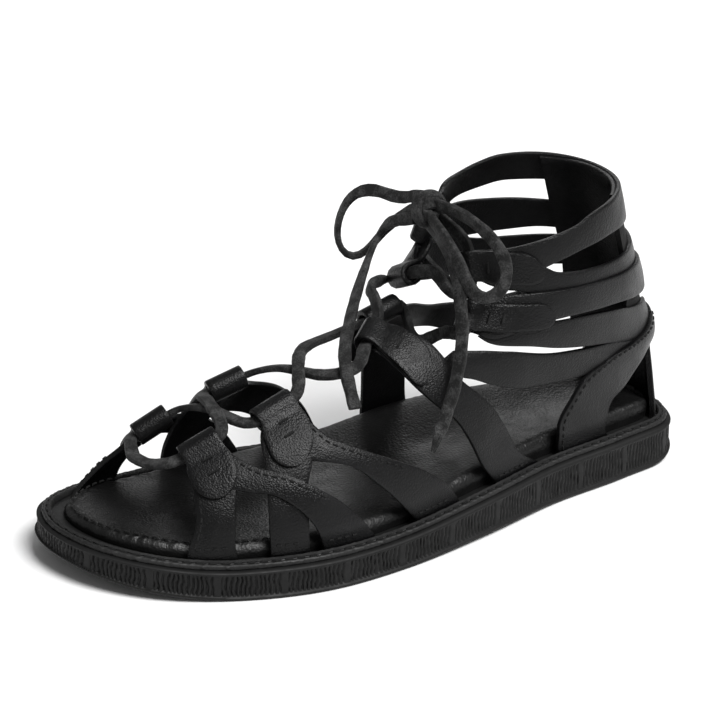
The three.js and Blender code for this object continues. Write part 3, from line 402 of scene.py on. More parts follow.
def anklePoint(turn, up):
    front = toX(read(ankleRows, "up", up, "front"))
    rear = toX(read(ankleRows, "up", up, "rear"))
    half = ankleWidth / 2 * read(ankleRows, "up", up, "half")
    angle = math.radians(turn)
    reach = (rear - front) / 2
    x = (front + rear) / 2 - reach * math.cos(angle)
    slender = min(max((reach / half - 1.4) / 1.2, 0), 1)
    pinch = innerPinch * slender * smooth((math.cos(angle) + 0.3) / 0.8)
    y = ankleShift + (half - (pinch if math.sin(angle) > 0 else 0)) * math.sin(angle)
    side = 1 if math.sin(angle) > 0 else -1
    atSole = edgeAt(side, min(x, strapSides[side][0][-1]))
    low = ankleRows[0]["up"]
    share = smooth((up - low) / (heelBlendTop - low))
    base = soleTop(x) + clearance
    height = base if up <= low else max(up * ankleHeight, base)
    return Vector((x, atSole + (y - atSole) * share, height))


def outwardAt(form, u, v, du, dv):
    normal = (form(u + du, v) - form(u - du, v)).cross(form(u, v + dv) - form(u, v - dv))
    if normal.length < 1e-5:
        return Vector((0, 0, 1))
    normal.normalize()
    here = form(u, v)
    return -normal if normal.dot(here - Vector((here.x * 0.9, ankleShift / 2, 30))) < 0 else normal


def footOutward(u, v):
    return outwardAt(footPoint, u, min(max(v, 2), 178), 0.004, 2)


def ankleOutward(u, v):
    normal = outwardAt(anklePoint, u, max(v, 0.2), 2, 0.01)
    return Vector((normal.x, normal.y, 0 if v < 0.3 else normal.z)).normalized()


footForm = {"point": footPoint, "outward": footOutward,
            "layered": lambda u, v: smooth((min(v, 180 - v) - 3) / 8)}
ankleForm = {"point": anklePoint, "outward": ankleOutward, "layered": lambda u, v: smooth((v - 0.16) / 0.07)}


def lift(form, u, v, out):
    return form["point"](u, v) + form["outward"](u, v) * out


# Mesh gathering: parts in millimetres become one object.
class Gather:
    def __init__(self):
        self.points = []
        self.faces = []
        self.kinds = []

    def put(self, points, faces, kind=0):
        base = len(self.points)
        points = np.asarray(points, float).reshape(-1, 3)
        self.points.extend(map(tuple, points))
        self.faces.extend(tuple(base + k for k in face) for face in faces)
        self.kinds.extend([kind] * len(faces) if isinstance(kind, int) else kind)

    def make(self, name, materials, node, sharp=38):
        mesh = bpy.data.meshes.new(name)
        mesh.from_pydata([tuple(c / 1000 for c in p) for p in self.points], [], self.faces)
        for material in materials:
            mesh.materials.append(material)
        mesh.polygons.foreach_set("material_index", self.kinds)
        work = bmesh.new()
        work.from_mesh(mesh)
        bmesh.ops.recalc_face_normals(work, faces=work.faces)
        work.to_mesh(mesh)
        work.free()
        mesh.polygons.foreach_set("use_smooth", [True] * len(mesh.polygons))
        mesh.set_sharp_from_angle(angle=math.radians(sharp))
        mesh.update()
        made = bpy.data.objects.new(name, mesh)
        bpy.context.scene.collection.objects.link(made)
        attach(made, "root")
        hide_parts(node)
        return made


def stripFaces(rings, size, closedRows=False):
    faces = []
    for i in range(rings if closedRows else rings - 1):
        low, high = i * size, (i + 1) % rings * size
        for j in range(size):
            k = (j + 1) % size
            faces.append((low + j, low + k, high + k, high + j))
    return faces


def capFaces(base, size):
    return [(base + k, base + k + 1, base + size - 2 - k, base + size - 1 - k) for k in range(size // 2 - 1)]


# Lace: a flat thong with soft edges along a line, its wide side facing out.
thong = {"width": 4.8, "thickness": 2.5, "corners": 12, "edgeSquareness": 0.42, "faceSquareness": 0.5,
         "slack": 4.5, "bowTwist": 0.16, "crossingTwist": 0.1}
# The wide side turns away from the sole at the toes and from the ankle's middle further back (shares of length).
inside = {"toes": 0.36, "over": 0.2, "ankle": 0.76}


def insideOf(p):
    share = smooth((p[0] - toX(inside["toes"])) / (inside["over"] * soleLength))
    near = np.array([p[0], ankleShift * share, 0])
    return near + (np.array([toX(inside["ankle"]), ankleShift, p[2]]) - near) * share


def ribbon(line, facing, width, thickness, shares=None, twist=0.0, closed=False):
    if closed:
        ahead = unit(np.roll(line, -1, axis=0) - np.roll(line, 1, axis=0))
    else:
        ahead = unit(np.gradient(line, axis=0))
    angles = (np.arange(thong["corners"]) + 0.5) * 2 * math.pi / thong["corners"]
    cosines, sines = np.cos(angles), np.sin(angles)
    side = 0.5 * np.sign(cosines) * np.abs(cosines) ** thong["edgeSquareness"]
    rise = 0.5 * np.sign(sines) * np.abs(sines) ** thong["faceSquareness"]
    at = lengths(line)
    outs = np.array([p - facing(p) for p in line])
    outs = unit(outs - ahead * (outs * ahead).sum(axis=1, keepdims=True))
    for i in range(1, len(outs)):
        if outs[i].dot(outs[i - 1]) < 0:
            outs[i] = -outs[i]
    for turn in range(4):
        outs[1:-1] = unit(outs[:-2] + outs[1:-1] * 2 + outs[2:])
        outs = unit(outs - ahead * (outs * ahead).sum(axis=1, keepdims=True))
    rings = []
    for i, p in enumerate(line):
        out = outs[i]
        across = np.cross(ahead[i], out)
        roll = twist * (math.sin(at[i] * 0.11) + 0.6 * math.sin(at[i] * 0.047 + 1.3))
        out, across = (out * math.cos(roll) + across * math.sin(roll),
                       across * math.cos(roll) - out * math.sin(roll))
        share = 1 if shares is None else shares[i]
        wide = width * share * (1 + 0.05 * math.sin(at[i] * 0.53) + 0.03 * math.sin(at[i] * 1.31))
        deep = thickness * min(1, share * 1.2)
        rings.append(p + np.outer(side * wide, across) + np.outer(rise * deep, out))
    return np.array(rings)


def putRibbon(gather, rings, closed=False):
    count, size = rings.shape[:2]
    faces = stripFaces(count, size, closedRows=closed)
    if not closed:
        faces += [tuple(range(size))[::-1], tuple((count - 1) * size + k for k in range(size))]
    gather.put(rings, faces)


knotPlace = {"turn": 6, "up": 0.93, "out": 3}
knotFront = ankleForm["outward"](knotPlace["turn"], knotPlace["up"])
knotFront.z = 0
knotFront.normalize()
knotAcross = -Vector((0, 0, 1)).cross(knotFront)
knotCentre = lift(ankleForm, knotPlace["turn"], knotPlace["up"], knotPlace["out"] * laceThickness)


def lacePlace(place):
    if "across" in place:
        reach = knotFront * place["front"] + knotAcross * place["across"] + Vector((0, 0, place["above"]))
        return knotCentre + reach * laceWidth
    if "turn" in place:
        return lift(ankleForm, place["turn"], place["up"], place["out"] * laceThickness)
    return lift(footForm, place["along"], place["arc"], place["out"] * laceThickness)


def byKnot(*rows):
    return table("across above front", *rows)


def byAnkle(*rows):
    return table("turn up out", *rows)


def byFoot(*rows):
    return table("along arc out", *rows)


laceCords = {
    "lace_loop_left": byKnot(
        (0.9, 0.8, 0.2), (2.2, 0.5, 0.4), (3.8, -0.4, 1.1), (5.4, -0.1, 2.1), (6.7, -0.1, 3.1),
        (7.5, -0.7, 4), (8, -1.8, 4.7), (8.1, -3.3, 5.2), (8, -4.7, 5.5), (7.6, -5.8, 5.4), (7, -6.8, 4.9),
        (6.6, -7, 4), (6.4, -6.2, 3), (6.2, -4.7, 1.9), (5.2, -3, 0.9), (2.9, -1, -0.1), (1, -0.4, 0)),
    "lace_loop_right": byKnot(
        (-0.9, 0.6, -0.2), (-3.3, 0.7, -1.3), (-5, 0.3, -2), (-6.7, -0.4, -2.8), (-8, -1.5, -3.5),
        (-8.8, -3, -3.9), (-9.2, -4.4, -3.6), (-9.2, -5.4, -2.6), (-8.9, -5.8, -1.4), (-8.3, -5.3, -0.8),
        (-7.5, -4.3, -0.6), (-6.5, -3.2, -0.4), (-5, -2, -0.1), (-3.2, -1, 0.2), (-0.9, -0.2, 0.4)),
    "lace_end_left": byKnot(
        (0.4, -1, 1.1), (2.1, -1.7, 1.9), (3.4, -2.3, 2.3), (4.4, -3, 2.2), (4, -4.4, 3.3), (2.5, -5.7, 4.7),
        (0.7, -6.9, 6.1), (-1.3, -8.1, 7.5), (-3.7, -9, 8.9), (-6.3, -9.7, 10.3), (-8.5, -10.6, 11.1),
        (-10.2, -11.9, 11.3), (-11.4, -13.1, 11.3)),
    "lace_end_right": byKnot(
        (0.1, -0.9, 0.4), (-1.5, -1.5, 0.1), (-3.3, -2.2, -0.1), (-5, -3.2, -0.2), (-6.4, -4.5, -0.2),
        (-7.6, -5.9, 0), (-8.7, -7.5, 0.2), (-9.5, -9, 0.5), (-10.1, -10.5, 0.9), (-10.6, -12.1, 1.4),
        (-11.2, -13.5, 2), (-11.7, -14.9, 2.8), (-12.3, -16.3, 3.6), (-12.9, -17.7, 4.4)),
}


def makeCord(name, places):
    drawn = curveThrough([lacePlace(place) for place in places], False, 20)
    line = evenly(relaxed(drawn, thong["slack"]), 39)
    shares = None
    if "end" in name:
        shares = np.ones(len(line))
        shares[-4:] = (0.9, 0.75, 0.55, 0.3) if name == "lace_end_right" else (1, 1, 1, 0.96)
    rings = ribbon(line, insideOf, thong["width"], thong["thickness"], shares, thong["bowTwist"])
    gather = Gather()
    putRibbon(gather, rings)
    made = gather.make(name + "_thong", [laceSuede], name)


# The knot: three turns of the thong round the roots of the bow.
knotTurns = table("tilt front above shift", (10, 1.35, 1.4, -0.45), (-48, 0.9, 1.2, -0.1),
                  (72, 0.8, 1.35, 0.0))


def makeKnot():
    gather = Gather()
    basis = np.array([knotFront, knotAcross, Vector((0, 0, 1))])
    centre = np.array(knotCentre)
    for row in knotTurns:
        line = []
        for k in range(40):
            angle = 2 * math.pi * k / 40
            front, above = row["front"] * math.cos(angle), row["above"] * math.sin(angle)
            tilt = math.radians(row["tilt"])
            across = above * math.sin(tilt) + row["shift"] + 0.1 * math.sin(2 * angle)
            above = above * math.cos(tilt)
            line.append(centre + basis.T @ (np.array([front, across, above]) * laceWidth))
        rings = ribbon(np.array(line), lambda p: centre, thong["width"] * 0.95, thong["thickness"],
                       closed=True)
        putRibbon(gather, rings, closed=True)
    return gather.make("lace_knot_turns", [laceSuede], "lace_knot")


knot = makeKnot()
for cordName, cordPlaces in laceCords.items():
    makeCord(cordName, cordPlaces)
print("cords")

# Straps as the solids have them: both edges from the lace down to the sole. The rows give along and arc of
# the front and the back edge on the foot, and turn and up of the low and the high edge on the ankle.
def strap(form, layer, rows, more):
    return {"form": form, "layer": layer, "rows": [(row[:2], row[2:]) for row in rows], **more}


def footStrap(layer, *rows, **more):
    return strap(footForm, layer, rows, more)


def ankleStrap(layer, *rows, **more):
    return strap(ankleForm, layer, rows, more)


outerStraps = [
    footStrap(0, (0.17, 116, 0.219, 114), (0.167, 126, 0.224, 126), (0.163, 139, 0.214, 141),
              (0.159, 151, 0.206, 152), (0.145, 169, 0.201, 170), (0.14, 180, 0.205, 180),
              tab="outer1", seams=[(0, 0.3, 0.82)], foot=6),
    footStrap(1, (0.206, 140, 0.218, 120), (0.23, 145, 0.243, 133), (0.256, 149, 0.283, 143),
              (0.277, 155, 0.312, 151), (0.294, 161.5, 0.345, 160), (0.309, 170, 0.378, 171),
              (0.32, 180, 0.402, 180), fork=True, seams=[(1, 0.1, 0.62)], foot=6.5),
    footStrap(0, (0.27, 115, 0.325, 112), (0.26, 125, 0.331, 124), (0.256, 138, 0.318, 139),
              (0.249, 150, 0.303, 151), (0.245, 169, 0.297, 170), (0.245, 180, 0.298, 180),
              tab="outer2", foot=6),
    footStrap(0.5, (0.3, 137, 0.327, 120), (0.325, 141, 0.345, 132), (0.368, 148, 0.386, 143),
              (0.402, 158, 0.437, 153), (0.428, 166, 0.485, 162), (0.45, 173, 0.53, 173),
              (0.473, 180, 0.55, 180), fork=True, seams=[(1, 0.08, 0.6)], foot=6),
]
innerStraps = [
    footStrap(0, (0.16, 55, 0.206, 58), (0.143, 44, 0.207, 43), (0.115, 31, 0.178, 30),
              (0.092, 16, 0.158, 15), (0.078, 0, 0.15, 0), tab="inner1", seams=[(0, 0.3, 0.9)], foot=6),
    footStrap(1, (0.183, 36, 0.2, 50), (0.2, 30, 0.222, 40), (0.232, 24, 0.27, 30), (0.262, 15, 0.315, 18),
              (0.283, 0, 0.355, 0), fork=True, seams=[(1, 0.1, 0.6)], foot=6),
    footStrap(0, (0.262, 62, 0.312, 64), (0.25, 46, 0.322, 47), (0.238, 32, 0.3, 30), (0.228, 14, 0.28, 12),
              (0.226, 0, 0.28, 0), tab="inner2", foot=6),
    footStrap(0.5, (0.288, 34, 0.315, 54), (0.312, 28, 0.352, 42), (0.352, 22, 0.402, 31),
              (0.385, 13, 0.446, 17), (0.405, 0, 0.478, 0), fork=True, seams=[(1, 0.1, 0.6)], foot=6),
]
ankleParts = [
    footStrap(0, (0.456, 101, 0.489, 91), (0.468, 114, 0.527, 114), (0.49, 130, 0.56, 138),
              (0.52, 143, 0.59, 148), (0.545, 151, 0.616, 156), (0.568, 161, 0.64, 165),
              (0.59, 171, 0.665, 173), (0.622, 180, 0.715, 180), tab="outer3", foot=6),
    footStrap(0, (0.495, 62, 0.553, 58), (0.502, 46, 0.585, 44), (0.53, 28, 0.605, 22),
              (0.538, 12, 0.612, 10), (0.54, 0, 0.622, 0), tab="inner3", foot=6),
    ankleStrap(0, (298, 0.525, 300, 0.577), (290, 0.51, 289, 0.571), (280, 0.488, 276, 0.554),
               (259, 0.42, 255, 0.512), (238, 0.4, 234, 0.488), (214, 0.38, 214, 0.45),
               (184, 0.36, 184, 0.43), fork=True),
    ankleStrap(0, (66, 0.5, 62, 0.575), (80, 0.485, 78, 0.552), (96, 0.44, 94, 0.51), (112, 0.39, 110, 0.49),
               (133, 0.43, 130, 0.52), (160, 0.44, 160, 0.54), fork=True),
    ankleStrap(0, (298, 0.61, 301, 0.66), (286, 0.582, 290, 0.66), (270, 0.56, 274, 0.63),
               (256, 0.53, 251, 0.62), (237, 0.496, 233, 0.6), (214, 0.446, 216, 0.57),
               (190, 0.42, 190, 0.54), fork=True),
    ankleStrap(1, (303, 0.622, 312, 0.695), (290, 0.6, 299, 0.728), (278, 0.635, 276, 0.733),
               (259, 0.642, 259, 0.735), (240, 0.635, 234, 0.727), (205, 0.605, 205, 0.715),
               (180, 0.6, 180, 0.705), tab="outer4"),
    ankleStrap(0, (318, 0.765, 322, 0.81), (287, 0.72, 290, 0.81), (276, 0.7, 277, 0.785),
               (252, 0.69, 252, 0.777), (226, 0.69, 226, 0.777), (200, 0.7, 200, 0.79), (180, 0.71, 180, 0.8),
               fork=True),
    ankleStrap(0, (320, 0.762, 328, 0.852), (300, 0.738, 309, 0.868), (288, 0.8, 291, 0.893),
               (274, 0.832, 270, 0.925), (258, 0.855, 257, 0.953), (236, 0.868, 234, 0.975),
               (205, 0.87, 205, 0.985), (180, 0.88, 180, 0.99), tab="outer5"),
    ankleStrap(0, (35, 0.79, 33, 0.89), (46, 0.84, 44, 0.955), (64, 0.882, 65, 0.967), (86, 0.897, 83, 0.983),
               (105, 0.909, 100, 1), (130, 0.909, 130, 1.004), (180, 0.88, 180, 0.99), tab="inner5"),
    ankleStrap(0, (36, 0.795, 35, 0.86), (60, 0.74, 60, 0.86), (97, 0.728, 95, 0.846),
               (124, 0.735, 118, 0.836), (152, 0.725, 152, 0.825), (180, 0.71, 180, 0.8), fork=True),
    ankleStrap(1, (30, 0.695, 6, 0.744), (46, 0.66, 32, 0.8), (66, 0.625, 62, 0.765), (100, 0.595, 100, 0.7),
               (130, 0.595, 130, 0.7), (180, 0.6, 180, 0.705), tab="inner4", plate=18),
    ankleStrap(-1, (142, 0.39, 126, 0.997), (160, 0.37, 152, 0.997), (180, 0.36, 180, 0.992),
               (202, 0.37, 210, 0.985), (222, 0.39, 226, 0.975), across=24),
    ankleStrap(1, (221, 0.124, 239, 0.124), (225, 0.17, 241, 0.182), (226, 0.232, 243, 0.256),
               (225, 0.273, 242, 0.322), (220, 0.306, 240, 0.388), (211, 0.37, 230, 0.438),
               (200, 0.41, 209, 0.463), (180, 0.42, 184, 0.5), (158, 0.42, 160, 0.5),
               seams=[(1, 0.05, 0.8)], across=10),
    ankleStrap(0, (146, 0.124, 150, 0.34), (158, 0.124, 158, 0.46), (172, 0.124, 172, 0.46),
               (186, 0.124, 186, 0.45), (198, 0.124, 196, 0.4), across=16),
]
tabFacts = {
    "outer1": {"reach": 28, "lift": 2}, "outer2": {"reach": 26, "lift": 2},
    "inner1": {"reach": -34, "lift": 2}, "inner2": {"reach": -34, "lift": 2},
    "outer3": {"reach": 34, "drift": 0.04, "lift": 2}, "inner3": {"reach": -30, "lift": 2},
    "outer4": {"reach": -33, "lift": 3}, "outer5": {"reach": -36, "lift": 2},
    "inner4": {"reach": 27, "drift": 0.08, "lift": 3}, "inner5": {"reach": 32, "lift": 2},
}


def tabFrame(part):
    form = part["form"]
    facts = tabFacts[part["tab"]]
    (u0, v0), (u1, v1) = part["rows"][0]
    moveU, moveV = facts.get("drift", 0), facts["reach"]
    if form is ankleForm:
        moveU, moveV = moveV, moveU
    a = form["point"](u0, v0)
    axis = form["point"](u1, v1) - a
    width = axis.length
    axis.normalize()
    u, v = (u0 + u1) / 2, (v0 + v1) / 2
    out = form["outward"](u, v)
    out = (out - axis * out.dot(axis)).normalized()
    ahead = form["point"](u - moveU * 0.05, v - moveV * 0.05) - form["point"](u, v)
    ahead = ahead - axis * ahead.dot(axis)
    ahead = (ahead - out * ahead.dot(out)).normalized()
    start = a + ahead * (tunnelRadius * 0.55) + out * ((facts["lift"] - 1) * layerStep / 2)
    return {"start": start, "axis": axis, "width": width, "ahead": ahead, "out": out, "middle": (u, v),
            "half": ((u1 - u0) / 2, (v1 - v0) / 2), "move": (moveU, moveV),
            "rise": (facts["lift"] - 1) * layerStep}


tabFrames = {part["tab"]: tabFrame(part) for part in outerStraps + innerStraps + ankleParts if "tab" in part}
laceHalves = [
    byFoot((0.131, 84, 0.4), (0.138, 103, 0.8)) + ["outer1"] + byFoot((0.236, 86, 1.3)) + ["inner2"]
    + byFoot((0.345, 82, 0.2), (0.38, 104, 0.2), (0.425, 109, 0.8)) + ["outer3"]
    + byKnot((-2, -7.5, 5.6), (2, -7.6, 4.5)) + ["inner4"] + byAnkle((350, 0.765, 1), (329, 0.712, 0))
    + ["outer5"] + byAnkle((345, 0.895, 0.6)) + byKnot((-0.6, -0.4, -0.5)),
    byFoot((0.131, 84, 0.4), (0.146, 64, 0.8)) + ["inner1"] + byFoot((0.232, 84, 0.1)) + ["outer2"]
    + byFoot((0.352, 95, 1.3), (0.385, 77, 1.2), (0.44, 66, 0.8)) + ["inner3"]
    + byAnkle((350, 0.655, -8), (316, 0.635, -2)) + ["outer4"] + byAnkle((350, 0.75, -4)) + ["inner5"]
    + byKnot((0.4, -0.4, -0.5)),
]


def makeCrossings():
    gather = Gather()
    for places in laceHalves:
        points = []
        for place in places:
            if isinstance(place, dict):
                points.append(lacePlace(place))
                continue
            facts = tabFrames[place]
            stub = laceThickness * 1.1
            for reach in (-stub, facts["width"] * 0.3, facts["width"] * 0.7, facts["width"] + stub):
                points.append(facts["start"] + facts["axis"] * reach)
        fine = relaxed(curveThrough(points, False, 16), thong["slack"] * 0.75)
        line = evenly(fine, int(lengths(fine)[-1] / 1.6))
        putRibbon(gather, ribbon(line, insideOf, thong["width"], thong["thickness"],
                                 twist=thong["crossingTwist"]))
    gather.make("lace_crossings_thong", [laceSuede], "lace_crossings")


makeCrossings()
print("lace crossings")


hideFacts = {"steps": 48, "meshStep": 1.5, "edgeRadius": 0.6, "dome": 0.35, "sunkEdge": 0.1, "ripple": 0.22}


# A grid of leather: rows of points along it, smoothed and evenly spaced.
def smoothRows(rows, step):
    grid = np.array([[tuple(p) for p in row] for row in rows], float)
    gaps = np.linalg.norm(np.diff(grid, axis=0), axis=2).mean(axis=1)
    knots = np.concatenate([[0], np.cumsum(gaps)])
    slopes = np.zeros_like(grid)
    rise = np.diff(grid, axis=0) / np.maximum(gaps, 1e-6)[:, None, None]
    before, after = gaps[:-1, None, None], gaps[1:, None, None]
    slopes[1:-1] = (rise[:-1] * after + rise[1:] * before) / (before + after)
    slopes[0], slopes[-1] = rise[0], rise[-1]
    fine = []
    for i, gap in enumerate(gaps):
        for t in np.linspace(0, 1, max(1, round(gap / step)), endpoint=False):
            fine.append(cubic(t, grid[i], gap * slopes[i], grid[i + 1], gap * slopes[i + 1]))
    fine.append(grid[-1])
    return np.array(fine), knots


def normalsOf(grid):
    return unit(np.cross(np.gradient(grid, axis=0), np.gradient(grid, axis=1)))


# Leather round a grid: the grain side (kind 0), the flesh side (kind 1) and rounded edges.
def putShell(gather, grid, liningFrom):
    normals = normalsOf(grid)
    rows, columns = grid.shape[:2]
    half = leatherThickness / 2
    gap = np.linalg.norm(grid[:, 1] - grid[:, 0], axis=1)
    radius = np.minimum(hideFacts["edgeRadius"], 0.45 * gap)[:, None]

    def corner(column, inward, sign):
        side = unit(grid[:, column + inward] - grid[:, column])
        centre = grid[:, column] + side * radius
        lines = []
        for angle in (0.15, 0.8, 1.57):
            reach = sign * (half - radius * (1 - math.sin(angle)))
            lines.append(centre - side * radius * math.cos(angle) + normals[:, column] * reach)
        return lines

    top = corner(0, 1, 1) + [grid[:, k] + normals[:, k] * half for k in range(1, columns - 1)]
    top += corner(columns - 1, -1, 1)[::-1]
    low = corner(0, 1, -1) + [grid[:, k] - normals[:, k] * half for k in range(1, columns - 1)]
    low += corner(columns - 1, -1, -1)[::-1]
    rings = np.stack(top + low[::-1], axis=1)
    size = rings.shape[1]
    faces = stripFaces(rows, size)
    kinds = [0] * (size * liningFrom) + ([0] * (size // 2) + [1] * (size // 2)) * (rows - 1 - liningFrom)
    caps = capFaces(0, size) + capFaces((rows - 1) * size, size)
    gather.put(rings, faces + caps, kinds + [0] * len(caps))
    return normals


# Thread: short stitches that dip into the leather at both ends.
def putStitch(gather, start, end, normal, rise, radius, kind):
    middle = (start + end) / 2
    ahead = unit(end - start)
    side = np.cross(ahead, normal)
    line = [start - normal * radius, start + (middle - start) * 0.35 + normal * rise,
            end + (middle - end) * 0.35 + normal * rise, end - normal * radius]
    sizes = (0.45, 1, 1, 0.45)
    rings = []
    for p, size in zip(line, sizes):
        for k in range(6):
            angle = k * math.pi / 3
            rings.append(p + (side * math.cos(angle) + normal * math.sin(angle)) * radius * size)
    faces = stripFaces(4, 6) + [(5, 4, 3, 2, 1, 0), (18, 19, 20, 21, 22, 23)]
    gather.put(rings, faces, kind)


def putSeam(gather, line, normals, surfaceRise, sizes, kind):
    at = lengths(line)
    radius = sizes["radius"]
    for k in range(int(at[-1] / sizes["pitch"])):
        ends = []
        for place in (k * sizes["pitch"], (k + sizes["share"]) * sizes["pitch"]):
            p = np.array([np.interp(place, at, line[:, c]) for c in range(3)])
            n = unit(np.array([np.interp(place, at, normals[:, c]) for c in range(3)]))
            ends.append((p, n))
        normal = unit(ends[0][1] + ends[1][1])
        lifted = [p + normal * surfaceRise for p, n in ends]
        putStitch(gather, lifted[0], lifted[1], normal, radius * 0.5, radius, kind)


def putLevelSeam(gather, line, rise, sizes):
    putSeam(gather, line, np.tile([0.0, 0.0, 1.0], (len(line), 1)), rise, sizes, 1)


def alongEdge(grid, normals, side, inset, first, last):
    columns = grid.shape[1]
    line, ups = [], []
    for i in range(first, last):
        width = np.linalg.norm(grid[i, -1] - grid[i, 0])
        c = min(inset / width, 0.45) * (columns - 1)
        c = columns - 1 - c if side else c
        j = min(int(c), columns - 2)
        line.append(grid[i, j] + (grid[i, j + 1] - grid[i, j]) * (c - j))
        ups.append(normals[i, j])
    return np.array(line), np.array(ups)


stitching = {"pitch": 3.1, "share": 0.72, "radius": 0.36, "inset": 2.0}
fold = {"clear": 6.3, "ahead": 3.8, "out": 3.5, "turn": 140, "turnStep": 28, "flapRise": 0.15, "flare": 0.13}
staples = {"places": (6.8, 12.2), "length": 5.0, "radius": 0.46, "rise": 0.8}


def strapPoints(part, columns):
    form = part["form"]
    rows = [{"t": i / (len(part["rows"]) - 1), "u0": a[0], "v0": a[1], "u1": b[0], "v1": b[1]}
            for i, (a, b) in enumerate(part["rows"])]
    grid = []
    for i in range(hideFacts["steps"] + 1):
        t = i / hideFacts["steps"]
        u0, v0, u1, v1 = (read(rows, "t", t, key) for key in ("u0", "v0", "u1", "v1"))
        layer = part["layer"]
        if part.get("fork"):
            layer = layer * smooth((t - 0.12) / 0.3) + 0.05
        row = []
        for k in range(columns + 1):
            c = k / columns
            u, v = u0 + (u1 - u0) * c, v0 + (v1 - v0) * c
            p = form["point"](u, v)
            n = form["outward"](u, v)
            dome = hideFacts["dome"] * math.sin(math.pi * c) - hideFacts["sunkEdge"]
            ripple = hideFacts["ripple"] * math.sin(p.x * 0.21 + p.z * 0.17 + 1.7 * part["layer"])
            ripple *= math.sin(p.z * 0.13 + p.x * 0.08)
            row.append(p + n * (layer * layerStep * form["layered"](u, v) + dome + ripple))
        grid.append(row)
    return grid


def foldPoints(part, columns):
    form = part["form"]
    facts = tabFrames[part["tab"]]
    (u, v), (halfU, halfV), (moveU, moveV) = facts["middle"], facts["half"], facts["move"]
    tube = facts["start"] + facts["axis"] * (facts["width"] / 2)
    reach = part.get("plate", (form["point"](u + moveU, v + moveV) - form["point"](u, v)).length)
    tail = min(0.75, facts["width"] * (1 + fold["flare"]) / 2 / reach)
    flap = []
    for i in range(41):
        t = math.cos(i / 40 * math.pi / 2)
        over = max(0, 1 - (1 - t) / tail)
        width = max(0.16, math.sqrt(max(0, 1 - over * over))) * (1 + fold["flare"] * smooth((t - 0.1) / 0.2))
        row = []
        for k in range(columns + 1):
            share = (2 * k / columns - 1) * width
            if "plate" in part:
                beside = facts["axis"] * (facts["width"] / 2 * share) + facts["out"] * fold["flapRise"]
                row.append(tube + beside - facts["ahead"] * (part["plate"] * t))
                continue
            spotU, spotV = u + moveU * t + halfU * share, v + moveV * t + halfV * share
            row.append(lift(form, spotU, spotV, facts["rise"] + fold["flapRise"]))
        if (sum(row, Vector()) / len(row) - tube).length < fold["clear"]:
            break
        flap.append(row)
    bend = []
    for angle in range(fold["turn"], -fold["turn"] - 1, -fold["turnStep"]):
        a = math.radians(angle)
        row = []
        for k in range(columns + 1):
            centre = facts["start"] + facts["axis"] * (facts["width"] * k / columns)
            reach = facts["ahead"] * (fold["ahead"] * math.cos(a))
            reach += facts["out"] * (fold["out"] * math.sin(a))
            row.append(centre + reach)
        bend.append(row)
    return flap, bend, tube


# Staples: short bars of thread across the flap, behind the tunnel.
def putStaples(gather, part, tube):
    form = part["form"]
    facts = tabFrames[part["tab"]]
    (u, v), (moveU, moveV) = facts["middle"], facts["move"]
    half = np.array(facts["axis"]) * staples["length"] / 2
    surface = fold["flapRise"] + leatherThickness / 2
    for place in staples["places"]:
        if "plate" in part:
            normal = facts["out"]
            middle = tube - facts["ahead"] * place + normal * surface
        else:
            spots = ((u + moveU * i / 100, v + moveV * i / 100) for i in range(100))
            spot = next(spot for spot in spots if (lift(form, *spot, facts["rise"]) - tube).length > place)
            normal = form["outward"](*spot)
            middle = lift(form, *spot, facts["rise"] + surface)
        ends = np.array(middle) - half, np.array(middle) + half
        putStitch(gather, *ends, np.array(normal), staples["radius"] * staples["rise"], staples["radius"], 2)


def putStrap(gather, part):
    columns = part.get("across", 8)
    rows = strapPoints(part, columns)
    liningFrom = 0
    if "tab" in part:
        flap, bend, tube = foldPoints(part, columns)
        putStaples(gather, part, tube)
        kept = [row for row in rows if (sum(row, Vector()) / len(row) - tube).length > fold["clear"]]
        rows = flap + bend + kept
    grid, knots = smoothRows(rows, hideFacts["meshStep"])
    at = lengths(grid.mean(axis=1))
    if "tab" in part:
        liningFrom = int(np.searchsorted(at, knots[len(flap) + len(bend)]))
    normals = putShell(gather, grid, liningFrom)
    away = normals[len(grid) * 3 // 4, columns // 2]
    middle = grid[len(grid) * 3 // 4, columns // 2]
    facing = 1 if away.dot(middle - insideOf(middle)) > 0 else -1
    seams = []
    for side, first, last in part.get("seams", ()):
        begin = liningFrom + int((len(grid) - liningFrom) * first)
        end = liningFrom + int((len(grid) - liningFrom) * last)
        seams.append(alongEdge(grid, normals, side, stitching["inset"], begin, end))
    if "foot" in part:
        row = int(np.searchsorted(at, at[-1] - part["foot"]))
        seams.append((grid[row, 1:-1], normals[row, 1:-1]))
    for line, ups in seams:
        putSeam(gather, line, ups * facing, leatherThickness / 2, stitching, 2)


def makeStraps(node, parts):
    gather = Gather()
    for part in parts:
        putStrap(gather, part)
    gather.make(node + "_leather", [strapLeather, fleshSide, waxedThread], node)
    print(node, len(gather.faces))


makeStraps("forefoot_straps_outer", outerStraps)
makeStraps("forefoot_straps_inner", innerStraps)
makeStraps("ankle_straps", ankleParts)

